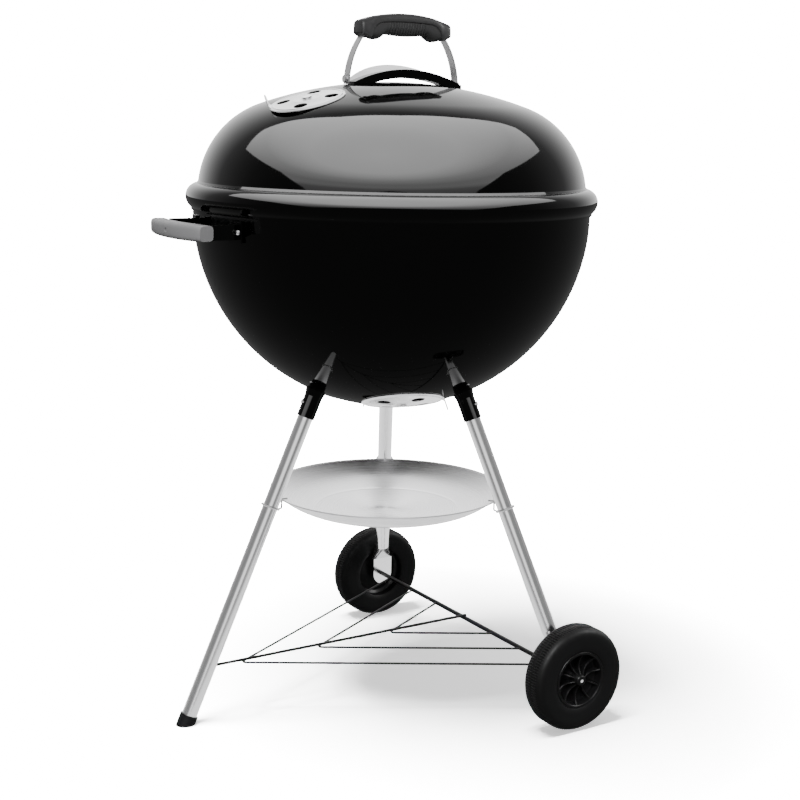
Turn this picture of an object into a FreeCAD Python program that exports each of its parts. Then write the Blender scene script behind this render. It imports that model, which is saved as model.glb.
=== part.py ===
"""Kettle charcoal grill: three-legged stand with two wheels, enamelled bowl and lift-off lid.

Frame: origin on the ground under the bowl's axis, +Z up. The foot leg and the side handle
are on the -X side, the axle runs along Y on the +X side. Millimetres throughout.
"""
import FreeCAD, Part
import math
import os
import re
import Sketcher
from FreeCAD import Placement, Rotation, Vector

doc = FreeCAD.newDocument("KettleGrill")
sheet = doc.addObject("Spreadsheet::Sheet", "Sizes")

# Driving dimensions: word, value, meaning. Lengths in mm, angles in degrees.
SIZES = [
    ("wall", 1.0, "enamelled sheet thickness of bowl and lid"),
    ("gap", 0.3, "clearance between parts that move past each other"),
    ("bowl_floor", 438.0, "height of the lowest point of the bowl"),
    ("bowl_dome", 285.5, "radius of the bowl's round bottom"),
    ("bowl_side", 242.0, "radius of the bowl's side curve"),
    ("bowl_blend", 78.7, "polar angle where bottom and side curves meet"),
    ("bowl_draft", 1.8, "lean of the bowl's wall under the rim"),
    ("rim_radius", 285.6, "outer radius of the bowl just under its rolled rim"),
    ("rim_height", 751.6, "height of the rolled rim's centre"),
    ("rim_roll", 4.0, "radius of the rolled rim"),
    ("lid_apex", 902.5, "height of the top of the lid"),
    ("lid_dome", 567.0, "radius of the lid's top curve"),
    ("lid_side", 133.0, "radius of the lid's side curve"),
    ("lid_blend", 19.534, "polar angle where the lid's two curves meet"),
    ("lid_foot_angle", 5.917, "angle of the side curve where it meets the bead"),
    ("bead_radius", 18.56, "radius of the bead round the lid's edge"),
    ("bead_centre_r", 276.44, "distance of the bead's centre from the axis"),
    ("bead_centre_z", 739.7, "height of the bead's centre"),
    ("bead_end", 54.2, "angle below level where the bead turns into the skirt"),
    ("skirt_foot", 721.5, "height of the lid skirt's lower edge"),
    ("leg_tube", 22.2, "outer diameter of the leg tubes"),
    ("leg_wall", 1.2, "wall of the leg tubes"),
    ("leg_lean", 23.9, "lean of the legs from upright"),
    ("socket_tube", 25.8, "outer diameter of the leg sockets"),
    ("socket_foot_r", 139.2, "distance of the socket's lower end from the axis"),
    ("socket_foot_z", 428.4, "height of the socket's lower end"),
    ("leg_insert", 24.0, "length of leg inside its socket"),
    ("foot_cap_tube", 26.0, "outer diameter of the foot cap"),
    ("wheel_radius", 76.0, "radius of a wheel, which stands on the ground"),
    ("wheel_width", 40.0, "width of a wheel"),
    ("wheel_inner_y", 256.0, "distance of a wheel's inner face from the middle"),
    ("wheel_bore", 3.56, "radius of the hole in a wheel's hub"),
    ("axle_radius", 3.5, "radius of the axle"),
    ("axle_x", 148.0, "how far the axle is behind the bowl's axis"),
    ("rack_wire", 3.2, "diameter of the rack's bent wires"),
    ("rack_spine_wire", 4.2, "diameter of the rack's spine"),
    ("pan_radius", 175.0, "rim radius of the ash pan"),
    ("pan_floor_radius", 108.0, "radius of the ash pan's flat floor"),
    ("pan_floor_z", 276.0, "height of the ash pan's floor"),
    ("pan_rim_z", 310.0, "height of the ash pan's rim"),
    ("pan_wall", 1.0, "sheet thickness of the ash pan"),
    ("damper_radius", 59.0, "radius of the bottom damper discs"),
    ("lid_damper_radius", 52.0, "radius of the lid damper disc"),
    ("damper_wall", 1.4, "thickness of the damper discs"),
    ("damper_hole", 9.5, "radius of a vent hole"),
    ("damper_hole_circle", 34.0, "distance of the vent holes from the disc's centre"),
    ("bottom_damper_polar", 20.0, "polar angle of the bottom dampers round the bowl's centre"),
    ("lid_damper_polar", 17.9, "polar angle of the lid damper round the lid curve's centre"),
    ("lid_damper_azimuth", 197.4, "bearing of the lid damper"),
    ("rivet_radius", 3.0, "shank radius of the damper rivets"),
    ("grip_length", 148.0, "length of the lid handle's grip"),
    ("grip_width", 30.0, "width of the lid handle's grip"),
    ("handle_offset", 13.4, "how far the lid handle is off the axis, towards the wheels"),
    ("handle_span", 183.0, "distance between the feet of the lid handle's bow"),
    ("strap_width", 15.0, "width of the bow's steel strap"),
    ("strap_wall", 2.0, "thickness of the bow's steel strap"),
    ("side_grip_height", 22.5, "height of the side handle's grip"),
    ("side_grip_z", 702.0, "height of the side handle's middle"),
    ("side_grip_x", 350.0, "how far the side handle stands out from the bowl's axis"),
    ("side_grip_half", 80.0, "half the length of the side handle's grip"),
    ("cooking_grate_radius", 266.0, "radius of the cooking grate's outer ring"),
    ("cooking_grate_z", 712.0, "height of the cooking grate's ring"),
    ("charcoal_grate_radius", 205.0, "half the length of the charcoal grate's longest rod"),
    ("charcoal_grate_z", 556.0, "height of the charcoal grate's rods"),
    ("grate_rod", 5.0, "diameter of the grates' rods"),
]
for row, (word, amount, meaning) in enumerate(SIZES, 1):
    sheet.set(f"A{row}", meaning)
    sheet.set(f"B{row}", str(amount))
    sheet.setAlias(f"B{row}", word)
doc.recompute()
WORDS = re.compile(r"\b(" + "|".join(word for word, _, _ in SIZES) + r")\b")
FINISHED = []


def formula(text):
    """Write a size formula the way the document reads it."""
    return WORDS.sub(r"Sizes.\1", str(text))


def size(text):
    """Work out a size formula from the sheet."""
    return float(sheet.evalExpression(formula(text)))


def bind(thing, **formulas):
    """Bind the named properties of a document object to size formulas."""
    for name, text in formulas.items():
        thing.setExpression(name, formula(text))
    return thing


def finish(thing, node):
    """Give a finished piece its node name and remember it."""
    thing.Label = node
    FINISHED.append(thing)
    return thing


def polar(radius, azimuth, height=0.0):
    """The point at a distance and bearing from the bowl's axis."""
    turn = math.radians(azimuth)
    return Vector(radius * math.cos(turn), radius * math.sin(turn), height)


def facing(base, direction):
    """A placement that turns a primitive's own Z axis to a direction."""
    return Placement(base, Rotation(Vector(0, 0, 1), direction))


# ---------------------------------------------------------------- building blocks

def cylinder(name, radius, length, base=Vector(), direction=Vector(0, 0, 1)):
    rod = doc.addObject("Part::Cylinder", name)
    bind(rod, Radius=radius, Height=length)
    rod.Placement = facing(base, direction)
    return rod


def box(name, length, width, height, place):
    block = doc.addObject("Part::Box", name)
    bind(block, Length=length, Width=width, Height=height)
    block.Placement = place
    return block


def ball(name, radius, centre):
    sphere = doc.addObject("Part::Sphere", name)
    bind(sphere, Radius=radius)
    sphere.Placement = Placement(centre, Rotation(Vector(1, 0, 0), 25))
    return sphere


def ring(name, radius, wire_radius, centre=Vector(), direction=Vector(0, 0, 1)):
    torus = doc.addObject("Part::Torus", name)
    bind(torus, Radius1=radius, Radius2=wire_radius)
    torus.Placement = facing(centre, direction)
    return torus


def fuse(name, pieces):
    whole = doc.addObject("Part::MultiFuse", name)
    whole.Shapes = pieces
    return whole


def common(name, pieces):
    whole = doc.addObject("Part::MultiCommon", name)
    whole.Shapes = pieces
    return whole


def cut(name, base, tool):
    whole = doc.addObject("Part::Cut", name)
    whole.Base = base
    whole.Tool = tool
    return whole


def group(name, pieces):
    """Separate solids kept together in one node."""
    whole = doc.addObject("Part::Compound", name)
    whole.Links = pieces
    return whole


def shaped(name, shape):
    """A piece whose outline no primitive gives."""
    piece = doc.addObject("Part::Feature", name)
    piece.Shape = shape
    return piece


def origin_plane(body, role):
    return next(f for f in body.Origin.OriginFeatures if f.Role == role)


def outline_sketch(body, role, corners, curves):
    """A closed sketch through corners of formulas; curves maps a side to (radius, bulge)."""
    sketch = body.newObject("Sketcher::SketchObject", body.Name + "Outline")
    sketch.AttachmentSupport = [(origin_plane(body, role), "")]
    sketch.MapMode = "FlatFace"
    spots = [Vector(size(a), size(b), 0) for a, b in corners]
    for side, start in enumerate(spots):
        end = spots[(side + 1) % len(spots)]
        if side in curves:
            sketch.addGeometry(side_arc(start, end, size(curves[side][0]), curves[side][1]), False)
        else:
            sketch.addGeometry(Part.LineSegment(start, end), False)
    constrain_outline(sketch, corners, curves, spots)
    return sketch


def side_arc(start, end, radius, bulge):
    """The arc between two corners; bulge 1 curves to the right of the way along, -1 to the left."""
    along = (end - start) * (1.0 / (end - start).Length)
    right = Vector(along.y, -along.x, 0) * bulge
    half = (end - start).Length / 2
    rise = radius - math.sqrt(max(radius ** 2 - half ** 2, 0.0))
    middle = (start + end) * 0.5 + right * rise
    return Part.Arc(start, middle, end) if bulge > 0 else Part.Arc(end, middle, start)


def ends_of(curve, start):
    """Which end number of a sketch edge lies on the given corner."""
    return 1 if (curve.StartPoint - start).Length < (curve.EndPoint - start).Length else 2


def constrain_outline(sketch, corners, curves, spots):
    """Pin every corner and every arc radius to the sheet."""
    count = len(corners)
    for side in range(count):
        here = ends_of(sketch.Geometry[side], spots[side])
        before = (side - 1) % count
        previous = 3 - ends_of(sketch.Geometry[before], spots[before])
        sketch.addConstraint(Sketcher.Constraint("Coincident", before, previous, side, here))
    for side, (across, up) in enumerate(corners):
        here = ends_of(sketch.Geometry[side], spots[side])
        for kind, text, amount in (("DistanceX", across, spots[side].x),
                                   ("DistanceY", up, spots[side].y)):
            index = sketch.addConstraint(Sketcher.Constraint(kind, -1, 1, side, here, amount))
            sketch.setExpression(f"Constraints[{index}]", formula(text))
    for side, (radius, _) in curves.items():
        index = sketch.addConstraint(Sketcher.Constraint("Radius", side, size(radius)))
        sketch.setExpression(f"Constraints[{index}]", formula(radius))


def lathe(name, corners, curves=None):
    """A body turned round the Z axis from (radius, height) corners."""
    body = doc.addObject("PartDesign::Body", name)
    sketch = outline_sketch(body, "XZ_Plane", corners, curves or {})
    turn = body.newObject("PartDesign::Revolution", name + "Turn")
    turn.Profile = sketch
    turn.ReferenceAxis = (sketch, ["V_Axis"])
    turn.Angle = 360
    body.Tip = turn
    return body


def slab(name, role, corners, curves, thickness, fillet=None, above=0.0):
    """A body padded both ways from an outline, the edges of its two faces rounded above a height."""
    body = doc.addObject("PartDesign::Body", name)
    sketch = outline_sketch(body, role, corners, curves)
    pad = body.newObject("PartDesign::Pad", name + "Pad")
    pad.Profile = sketch
    bind(pad, Length=thickness)
    pad.Midplane = True
    body.Tip = pad
    if fillet:
        doc.recompute()
        edges = [f"Edge{i}" for i, edge in enumerate(pad.Shape.Edges, 1)
                 if in_cap(edge, role) and (above == 0 or edge.BoundBox.ZMin > above)]
        rounding = body.newObject("PartDesign::Fillet", name + "Round")
        rounding.Base = (pad, edges)
        bind(rounding, Radius=fillet)
        body.Tip = rounding
    return body


def in_cap(edge, role):
    """Whether an edge lies in one of the two faces parallel to the sketch plane."""
    box_of_edge = edge.BoundBox
    depth = {"XZ_Plane": box_of_edge.YLength, "XY_Plane": box_of_edge.ZLength}[role]
    return depth < 0.01


def rounded_path(points, radii):
    """Straight runs joined by tangent arcs, as one wire."""
    edges = []
    start = points[0]
    for before, corner, after, radius in zip(points, points[1:], points[2:], radii):
        way_in = (corner - before).normalize()
        way_out = (after - corner).normalize()
        turn = way_in.getAngle(way_out)
        setback = radius * math.tan(turn / 2)
        first = corner - way_in * setback
        last = corner + way_out * setback
        inward = (way_out - way_in).normalize()
        centre = corner + inward * (radius / math.cos(turn / 2))
        if (first - start).Length > 1e-6:
            edges.append(Part.LineSegment(start, first).toShape())
        edges.append(Part.Arc(first, centre - inward * radius, last).toShape())
        start = last
    edges.append(Part.LineSegment(start, points[-1]).toShape())
    return Part.Wire(edges)


def bent_wire(points, radii, diameter):
    """A round wire bent along a path of straight runs and arcs."""
    spine = rounded_path(points, radii)
    heading = (points[1] - points[0]).normalize()
    section = Part.Wire(Part.makeCircle(diameter / 2, points[0], heading))
    return spine.makePipeShell([section], True, False)


# ---------------------------------------------------------------- bowl and lid

def on_arc(centre_r, centre_z, radius, sine, cosine):
    """The formulas of a point on an arc, given sine and cosine of its polar angle."""
    return f"{centre_r} + ({radius}) * {sine}", f"{centre_z} + ({radius}) * {cosine}"


BOWL_CENTRE = "(bowl_floor + bowl_dome)"
BOWL_SIDE_R = "((bowl_dome - bowl_side) * sin(bowl_blend))"
BOWL_SIDE_Z = f"({BOWL_CENTRE} - (bowl_dome - bowl_side) * cos(bowl_blend))"


def bowl_wall(inset):
    """Bottom, blend and top of the bowl's curved wall, moved in by an inset."""
    blend = on_arc("0", BOWL_CENTRE, f"bowl_dome - {inset}", "sin(bowl_blend)", "(0 - cos(bowl_blend))")
    top = on_arc(BOWL_SIDE_R, BOWL_SIDE_Z, f"bowl_side - {inset}", "cos(bowl_draft)", "(0 - sin(bowl_draft))")
    return ("0", f"bowl_floor + {inset}"), blend, top


def bowl_shell():
    """Deep round bowl with straight upper wall and a rim rolled inwards."""
    floor, blend, top = bowl_wall("0")
    floor_in, blend_in, top_in = bowl_wall("wall")
    rim_in = ("rim_radius - 1.98 * rim_roll", "rim_height")
    corners = [floor, blend, top, ("rim_radius", "rim_height"), rim_in,
               ("rim_radius - wall", "rim_height - 1.6 * rim_roll"), top_in, blend_in, floor_in]
    curves = {0: ("bowl_dome", 1), 1: ("bowl_side", 1), 3: ("rim_roll", 1),
              6: ("bowl_side - wall", -1), 7: ("bowl_dome - wall", -1)}
    body = lathe("BowlTurned", corners, curves)
    holes = [vent_cutter("BowlVents", azimuth) for azimuth in BOTTOM_DAMPERS.values()]
    return finish(cut("Bowl", body, group("BowlVentTools", holes)), "bowl_shell")


def lid_wall(inset):
    """Apex, blend and foot of the lid's curved wall, moved in by an inset."""
    centre = "(lid_apex - lid_dome)"
    side_r = "((lid_dome - lid_side) * sin(lid_blend))"
    side_z = f"({centre} + (lid_dome - lid_side) * cos(lid_blend))"
    blend = on_arc("0", centre, f"lid_dome - {inset}", "sin(lid_blend)", "cos(lid_blend)")
    foot = on_arc(side_r, side_z, f"lid_side - {inset}", "cos(lid_foot_angle)", "sin(lid_foot_angle)")
    return ("0", f"lid_apex - {inset}"), blend, foot


def lid_shell():
    """Shallow domed lid whose edge swells into a bead that drops over the bowl's rim."""
    apex, blend, foot = lid_wall("0")
    apex_in, blend_in, foot_in = lid_wall("wall")
    bead = on_arc("bead_centre_r", "bead_centre_z", "bead_radius", "cos(bead_end)", "(0 - sin(bead_end))")
    bead_in = on_arc("bead_centre_r", "bead_centre_z", "bead_radius - wall", "cos(bead_end)",
                     "(0 - sin(bead_end))")
    corners = [apex, blend, foot, bead, (bead[0], "skirt_foot"), (bead_in[0], "skirt_foot"), bead_in,
               foot_in, blend_in, apex_in]
    curves = {0: ("lid_dome", -1), 1: ("lid_side", -1), 2: ("bead_radius", -1),
              6: ("bead_radius - wall", 1), 7: ("lid_side - wall", 1), 8: ("lid_dome - wall", 1)}
    body = lathe("LidTurned", corners, curves)
    direction, centre = lid_damper_axis()
    tools = vent_tools("LidVent", centre, direction, size("lid_dome"))
    return finish(cut("Lid", body, group("LidVentTools", tools)), "lid_shell")


# ---------------------------------------------------------------- dampers

BOTTOM_DAMPERS = {"rear": 11, "left": 131, "right": 251}
VENT_TURN = 45.0
TAB_LENGTH = 19.0
TAB_WIDTH = 18.0
BOTTOM_TAB_TURNS = {"rear": 114.0, "left": 107.0, "right": -6.0}
BOTTOM_TAB_LIFT = 75.0
LID_TAB_TURN, LID_TAB_LIFT = 150.0, 80.0


def bottom_damper_axis(azimuth):
    """Outward direction of a bottom damper and the centre of the bowl's round bottom."""
    slope = math.radians(size("bottom_damper_polar"))
    direction = polar(math.sin(slope), azimuth, -math.cos(slope))
    return direction, Vector(0, 0, size("bowl_floor + bowl_dome"))


def lid_damper_axis():
    """Outward direction of the lid damper and the centre of the lid's top curve."""
    slope = math.radians(size("lid_damper_polar"))
    direction = polar(math.sin(slope), size("lid_damper_azimuth"), math.cos(slope))
    return direction, Vector(0, 0, size("lid_apex - lid_dome"))


def vent_tools(name, centre, direction, radius, shank=True):
    """Cutters for four vent holes round a damper's pivot, and for the pivot itself."""
    tilt = Rotation(Vector(0, 0, 1), direction)
    tools = []
    for step in range(4):
        turn = math.radians(VENT_TURN + 90 * step)
        across = tilt.multVec(Vector(math.cos(turn), math.sin(turn), 0)) * size("damper_hole_circle")
        base = centre + direction * (radius - 30) + across
        tools.append(cylinder(name, "damper_hole", "60", base, direction))
    if shank:
        tools.append(cylinder(name + "Pivot", "rivet_radius + 0.06", "60",
                              centre + direction * (radius - 30), direction))
    return tools


def vent_cutter(name, azimuth):
    direction, centre = bottom_damper_axis(azimuth)
    return group(name + "Set", vent_tools(name, centre, direction, size("bowl_dome")))


def damper_disc(name, centre, direction, inner_radius, radius, tab_turn, tab_lift):
    """A dished disc that follows the wall, with vent holes, a bent tab and a pivot hole."""
    outer = ball(name + "Outer", f"{inner_radius} + damper_wall", centre)
    inner = ball(name + "Inner", inner_radius, centre)
    reach = size(inner_radius)
    column = cylinder(name + "Column", radius, "60", centre + direction * (reach - 40), direction)
    dish = common(name + "Dish", [cut(name + "Shell", outer, inner), column])
    holes = group(name + "Tools", vent_tools(name + "Hole", centre, direction, reach))
    drilled = cut(name + "Drilled", dish, holes)
    tilt = Rotation(Vector(0, 0, 1), direction)
    swing = Rotation(Vector(0, 0, 1), tab_turn)
    root = size(radius) - 6
    height = math.sqrt(reach ** 2 - root ** 2)
    bend = Placement(Vector(root, -TAB_WIDTH / 2, height + 0.1), Rotation(Vector(0, 1, 0), -tab_lift))
    place = Placement(centre, tilt).multiply(Placement(Vector(), swing)).multiply(bend)
    tab = box(name + "Tab", TAB_LENGTH, TAB_WIDTH, "damper_wall", place)
    return fuse(name, [drilled, tab])


def rivet(name, centre, direction, wall_outer, wall_inner):
    """A rivet that holds a damper to its wall: shank, outer head over a gap and inner head."""
    shank = cylinder(name + "Shank", "rivet_radius", f"{wall_outer} - {wall_inner} + 3.2",
                     centre + direction * (size(wall_inner) - 1.7), direction)
    head = cylinder(name + "Head", "rivet_radius * 2.2", "2.0",
                    centre + direction * size(wall_outer), direction)
    back = cylinder(name + "Back", "rivet_radius * 2", "1.6",
                    centre + direction * (size(wall_inner) - 1.7), direction)
    return fuse(name, [shank, head, back])


def dampers():
    """Three dampers under the bowl and one on the lid, each on its own rivet."""
    for place, azimuth in BOTTOM_DAMPERS.items():
        direction, centre = bottom_damper_axis(azimuth)
        name = "BottomDamper" + place.title()
        finish(damper_disc(name, centre, direction, "(bowl_dome + gap)", "damper_radius",
                           BOTTOM_TAB_TURNS[place], BOTTOM_TAB_LIFT), f"bottom_damper_{place}")
        finish(rivet(name + "Rivet", centre, direction, "(bowl_dome + damper_wall + 2 * gap)",
                     "(bowl_dome - wall)"), f"bottom_damper_rivet_{place}")
    direction, centre = lid_damper_axis()
    finish(damper_disc("LidDamper", centre, direction, "(lid_dome + gap)", "lid_damper_radius",
                       LID_TAB_TURN, LID_TAB_LIFT), "lid_damper")
    finish(rivet("LidDamperRivet", centre, direction, "(lid_dome + damper_wall + 2 * gap)",
                 "(lid_dome - wall)"), "lid_damper_rivet")


# ---------------------------------------------------------------- legs and sockets

LEGS = {"foot": 180, "left": 60, "right": -60}


def leg_point(azimuth, height):
    """The point of a leg's centre line at a height."""
    lean = math.tan(math.radians(size("leg_lean")))
    radius = size("socket_foot_r") + (size("socket_foot_z") - height) * lean
    return polar(radius, azimuth, height)


def leg_direction(azimuth):
    """Up along a leg."""
    return (leg_point(azimuth, 400) - leg_point(azimuth, 0)).normalize()


def socket(place, azimuth):
    """A tube welded under the bowl that a leg is pushed into, with a skirt at the weld."""
    name = "Socket" + place.title()
    start = leg_point(azimuth, size("socket_foot_z"))
    up = leg_direction(azimuth)
    tube = cylinder(name + "Tube", "socket_tube / 2", "90", start, up)
    skirt = doc.addObject("Part::Cone", name + "Skirt")
    bind(skirt, Radius1="socket_tube / 2", Radius2="socket_tube / 2 + 5", Height="24")
    skirt.Placement = facing(start + up * 32, up)
    solid = fuse(name + "Solid", [tube, skirt])
    bore = cylinder(name + "Bore", "leg_tube / 2 + 0.05", "leg_insert + 2", start - up, up)
    bowl_space = ball(name + "BowlSpace", "bowl_dome", Vector(0, 0, size("bowl_floor + bowl_dome")))
    tools = group(name + "Tools", [bore, bowl_space])
    return finish(cut(name, solid, tools), f"leg_socket_{place}")


def round_tube(name, azimuth, low, high):
    """A straight stretch of leg tube between two heights of its centre line."""
    start = leg_point(azimuth, low)
    up = leg_direction(azimuth)
    length = (leg_point(azimuth, high) - start).Length
    outer = cylinder(name + "Outer", "leg_tube / 2", length, start, up)
    inner = cylinder(name + "Inner", "leg_tube / 2 - leg_wall", length + 2, start - up, up)
    return cut(name, outer, inner)


def leg_top():
    """Height of a leg's upper end, inside its socket."""
    lean = math.cos(math.radians(size("leg_lean")))
    return size("socket_foot_z") + size("leg_insert") * lean


def foot_leg():
    return finish(round_tube("FootLeg", LEGS["foot"], 6.0, leg_top()), "leg_foot")


def foot_cap():
    """Plastic cap over the foot leg's lower end, flat where it meets the ground."""
    azimuth = LEGS["foot"]
    up = leg_direction(azimuth)
    sleeve = cylinder("FootCapSleeve", "foot_cap_tube / 2", "26", leg_point(azimuth, -11), up)
    space = cylinder("FootCapSpace", "leg_tube / 2 + 0.05", "40", leg_point(azimuth, 6.0) - up * 0.05, up)
    below = box("FootCapGround", "80", "80", "40",
                Placement(leg_point(azimuth, 0) - Vector(40, 40, 40), Rotation()))
    return finish(cut("FootCap", sleeve, group("FootCapTools", [space, below])), "foot_cap")


PLATE_TOP = 104.0
PLATE_HALF_WIDTH = 17.5
PLATE_THICK = 5.6
TUBE_END = 134.0


def axle_leg(place):
    """A leg tube whose lower end is pressed flat and drilled for the axle."""
    azimuth = LEGS[place]
    side = math.copysign(1, azimuth)
    name = "AxleLeg" + place.title()
    tube = round_tube(name + "Tube", azimuth, TUBE_END, leg_top())
    axle = Vector(size("axle_x"), side * leg_point(60, size("wheel_radius")).y, size("wheel_radius"))
    end = shaped(name + "End", pressed_end(azimuth, axle))
    hole = cylinder(name + "Hole", "axle_radius + 0.05", "40", axle + Vector(0, 20, 0), Vector(0, -1, 0))
    return finish(cut(name, fuse(name + "Whole", [tube, end]), hole), f"leg_{place}")


def pressed_end(azimuth, axle):
    """The transition from round tube to flat plate, and the plate with its round end."""
    top = tube_outline(leg_point(azimuth, TUBE_END), leg_direction(azimuth), size("leg_tube / 2"))
    flat = plate_outline(Vector(axle.x - 2, axle.y, PLATE_TOP))
    loft = Part.makeLoft([flat, top], True)
    plate = Part.makeBox(2 * PLATE_HALF_WIDTH, PLATE_THICK, PLATE_TOP - axle.z + 0.5,
                         axle + Vector(-PLATE_HALF_WIDTH, -PLATE_THICK / 2, 0))
    nose = Part.makeCylinder(PLATE_HALF_WIDTH, PLATE_THICK, axle - Vector(0, PLATE_THICK / 2, 0),
                             Vector(0, 1, 0))
    return plate.fuse([nose, loft]).removeSplitter()


def tube_outline(centre, normal, radius):
    """A circle made of four arcs, so that it lofts to the plate's outline."""
    half_depth = 0.7 * radius
    return four_arcs(centre, normal, radius, math.sqrt(radius ** 2 - half_depth ** 2), half_depth, radius)


def plate_outline(centre):
    """The pressed plate's outline, with faintly bulged faces and round edges."""
    half_depth = PLATE_THICK / 2
    return four_arcs(centre, Vector(0, 0, 1), PLATE_HALF_WIDTH, PLATE_HALF_WIDTH - 0.6, half_depth,
                     1.02 * half_depth)


def four_arcs(centre, normal, end, corner, half_depth, crown):
    """A closed outline long along X: two end arcs and two crowns, which meet at the corners."""
    east = (Vector(1, 0, 0) - normal * normal.x).normalize()
    north = normal.cross(east)
    spots = [east * corner - north * half_depth, east * end, east * corner + north * half_depth,
             north * crown, north * half_depth - east * corner, east * -end,
             east * -corner - north * half_depth, north * -crown]
    spots = [centre + spot for spot in spots]
    edges = [Part.Arc(spots[i], spots[i + 1], spots[(i + 2) % 8]).toShape() for i in (0, 2, 4, 6)]
    return Part.Wire(edges)


BUTTON_HEIGHT = 20.0
BUTTON_RADIUS = 3.2
BUTTON_PROUD = 2.2


def leg_buttons():
    """Spring buttons that lock the legs in their sockets, one on each socket's outer side."""
    buttons = []
    for azimuth in LEGS.values():
        up = leg_direction(azimuth)
        out = up.cross(polar(1, azimuth + 90)).normalize()
        if out.dot(polar(1, azimuth)) < 0:
            out = out * -1
        seat = leg_point(azimuth, size("socket_foot_z")) + up * BUTTON_HEIGHT
        seat += out * (size("socket_tube / 2") + 0.02)
        buttons.append(cylinder("LegButton", BUTTON_RADIUS, BUTTON_PROUD, seat, out))
    return finish(group("LegButtons", buttons), "leg_buttons")


# ---------------------------------------------------------------- wheels and axle

WHEELS = {"right": -1, "left": 1}
HUB_CAP_DEPTH = 3.0
RIM_RIBS = 10


def wheel_placement(side):
    """Turn a wheel's own Z axis outwards along Y, with its inner face at the origin."""
    base = Vector(size("axle_x"), side * size("wheel_inner_y"), size("wheel_radius"))
    return facing(base, Vector(0, side, 0))


def tyre(place, side):
    """Moulded tread ring with rounded shoulders and a recessed seat for the rim."""
    name = "Tyre" + place.title()
    corners = [("46", "2.5"), ("58", "0"), ("wheel_radius - 9", "0"), ("wheel_radius", "9"),
               ("wheel_radius", "wheel_width - 9"), ("wheel_radius - 9", "wheel_width"),
               ("58", "wheel_width"), ("46", "wheel_width - 2.5")]
    body = lathe(name, corners, {2: ("9", 1), 4: ("9", 1)})
    body.Placement = wheel_placement(side)
    return finish(body, f"wheel_tyre_{place}")


def rim(place, side):
    """Rim band, dished web and hub, stiffened by radial ribs."""
    name = "Rim" + place.title()
    corners = [("wheel_bore", "3.4"), ("11", "3.4"), ("11", "17"), ("40", "17"), ("42", "3"), ("45.9", "3"),
               ("45.9", "wheel_width - 3"), ("42", "wheel_width - 3"), ("40", "23"), ("11", "23"),
               ("11", "wheel_width - 2"), ("wheel_bore", "wheel_width - 2")]
    disc = lathe(name + "Disc", corners)
    ribs = []
    for index in range(RIM_RIBS):
        turn = Rotation(Vector(0, 0, 1), 360 * index / RIM_RIBS)
        place_rib = Placement(Vector(), turn).multiply(Placement(Vector(9, -1.2, 22), Rotation()))
        ribs.append(box(name + "Rib", "34", "2.4", "wheel_width - 29", place_rib))
    whole = fuse(name, [disc] + ribs)
    whole.Placement = wheel_placement(side)
    return finish(whole, f"wheel_rim_{place}")


def hub_cap(place, side):
    """Push-on cap that keeps a wheel on the axle."""
    name = "HubCap" + place.title()
    outer = f"wheel_width - 2 + gap + {HUB_CAP_DEPTH}"
    corners = [("axle_radius + 0.02", "wheel_width - 2 + gap"), ("8", "wheel_width - 2 + gap"),
               ("8", f"{outer} - 1"), ("6.5", outer), ("0", outer),
               ("0", f"{outer} - 1.2"), ("axle_radius + 0.02", f"{outer} - 1.2")]
    body = lathe(name, corners)
    body.Placement = wheel_placement(side)
    return finish(body, f"axle_cap_{place}")


def axle():
    half = size(f"wheel_inner_y + wheel_width - 2 + gap + {HUB_CAP_DEPTH} - 1.4")
    base = Vector(size("axle_x"), -half, size("wheel_radius"))
    rod = cylinder("Axle", "axle_radius", f"{2 * half}", base, Vector(0, 1, 0))
    return finish(rod, "axle")


def wheels():
    for place, side in WHEELS.items():
        tyre(place, side)
        rim(place, side)
        hub_cap(place, side)
    axle()


# ---------------------------------------------------------------- rack and ash pan

RACK_APEXES = {"outer": -243.0, "middle": -118.0, "inner": 8.0}
RACK_SPREAD = 30.0
RACK_BEND = 5.0
SPINE_OVERRUN = 3.0


def off_the_axle(wire):
    """A wire cut back to the axle's surface, where it is welded."""
    axle_space = Part.makeCylinder(size("axle_radius") + 0.05, 600,
                                   Vector(size("axle_x"), -300, size("wheel_radius")), Vector(0, 1, 0))
    pieces = wire.cut(axle_space).Solids
    return max(pieces, key=lambda piece: piece.Volume)


def rack_wires():
    """Nested V-shaped wires, level with the axle and welded to it at both ends."""
    for place, apex_x in RACK_APEXES.items():
        apex = Vector(apex_x, 0, size("wheel_radius"))
        across = (size("axle_x") - apex_x) * math.tan(math.radians(RACK_SPREAD))
        ends = [Vector(size("axle_x"), side * across, size("wheel_radius")) for side in (1, -1)]
        shape = bent_wire([ends[0], apex, ends[1]], [RACK_BEND], size("rack_wire"))
        finish(shaped("RackWire" + place.title(), off_the_axle(shape)), f"rack_wire_{place}")


def rack_spine():
    """Straight wire from the foot leg over the bends, its end lying on the axle."""
    height = size("wheel_radius + (rack_wire + rack_spine_wire) / 2 + 0.02")
    start = leg_point(180, height) + Vector(size("leg_tube / 2") + 2.2, 0, 0)
    end = Vector(size("axle_x") + SPINE_OVERRUN, 0, height)
    rod = Part.makeCylinder(size("rack_spine_wire / 2"), (end - start).Length, start, Vector(1, 0, 0))
    finish(shaped("RackSpine", off_the_axle(rod)), "rack_spine")


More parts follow.
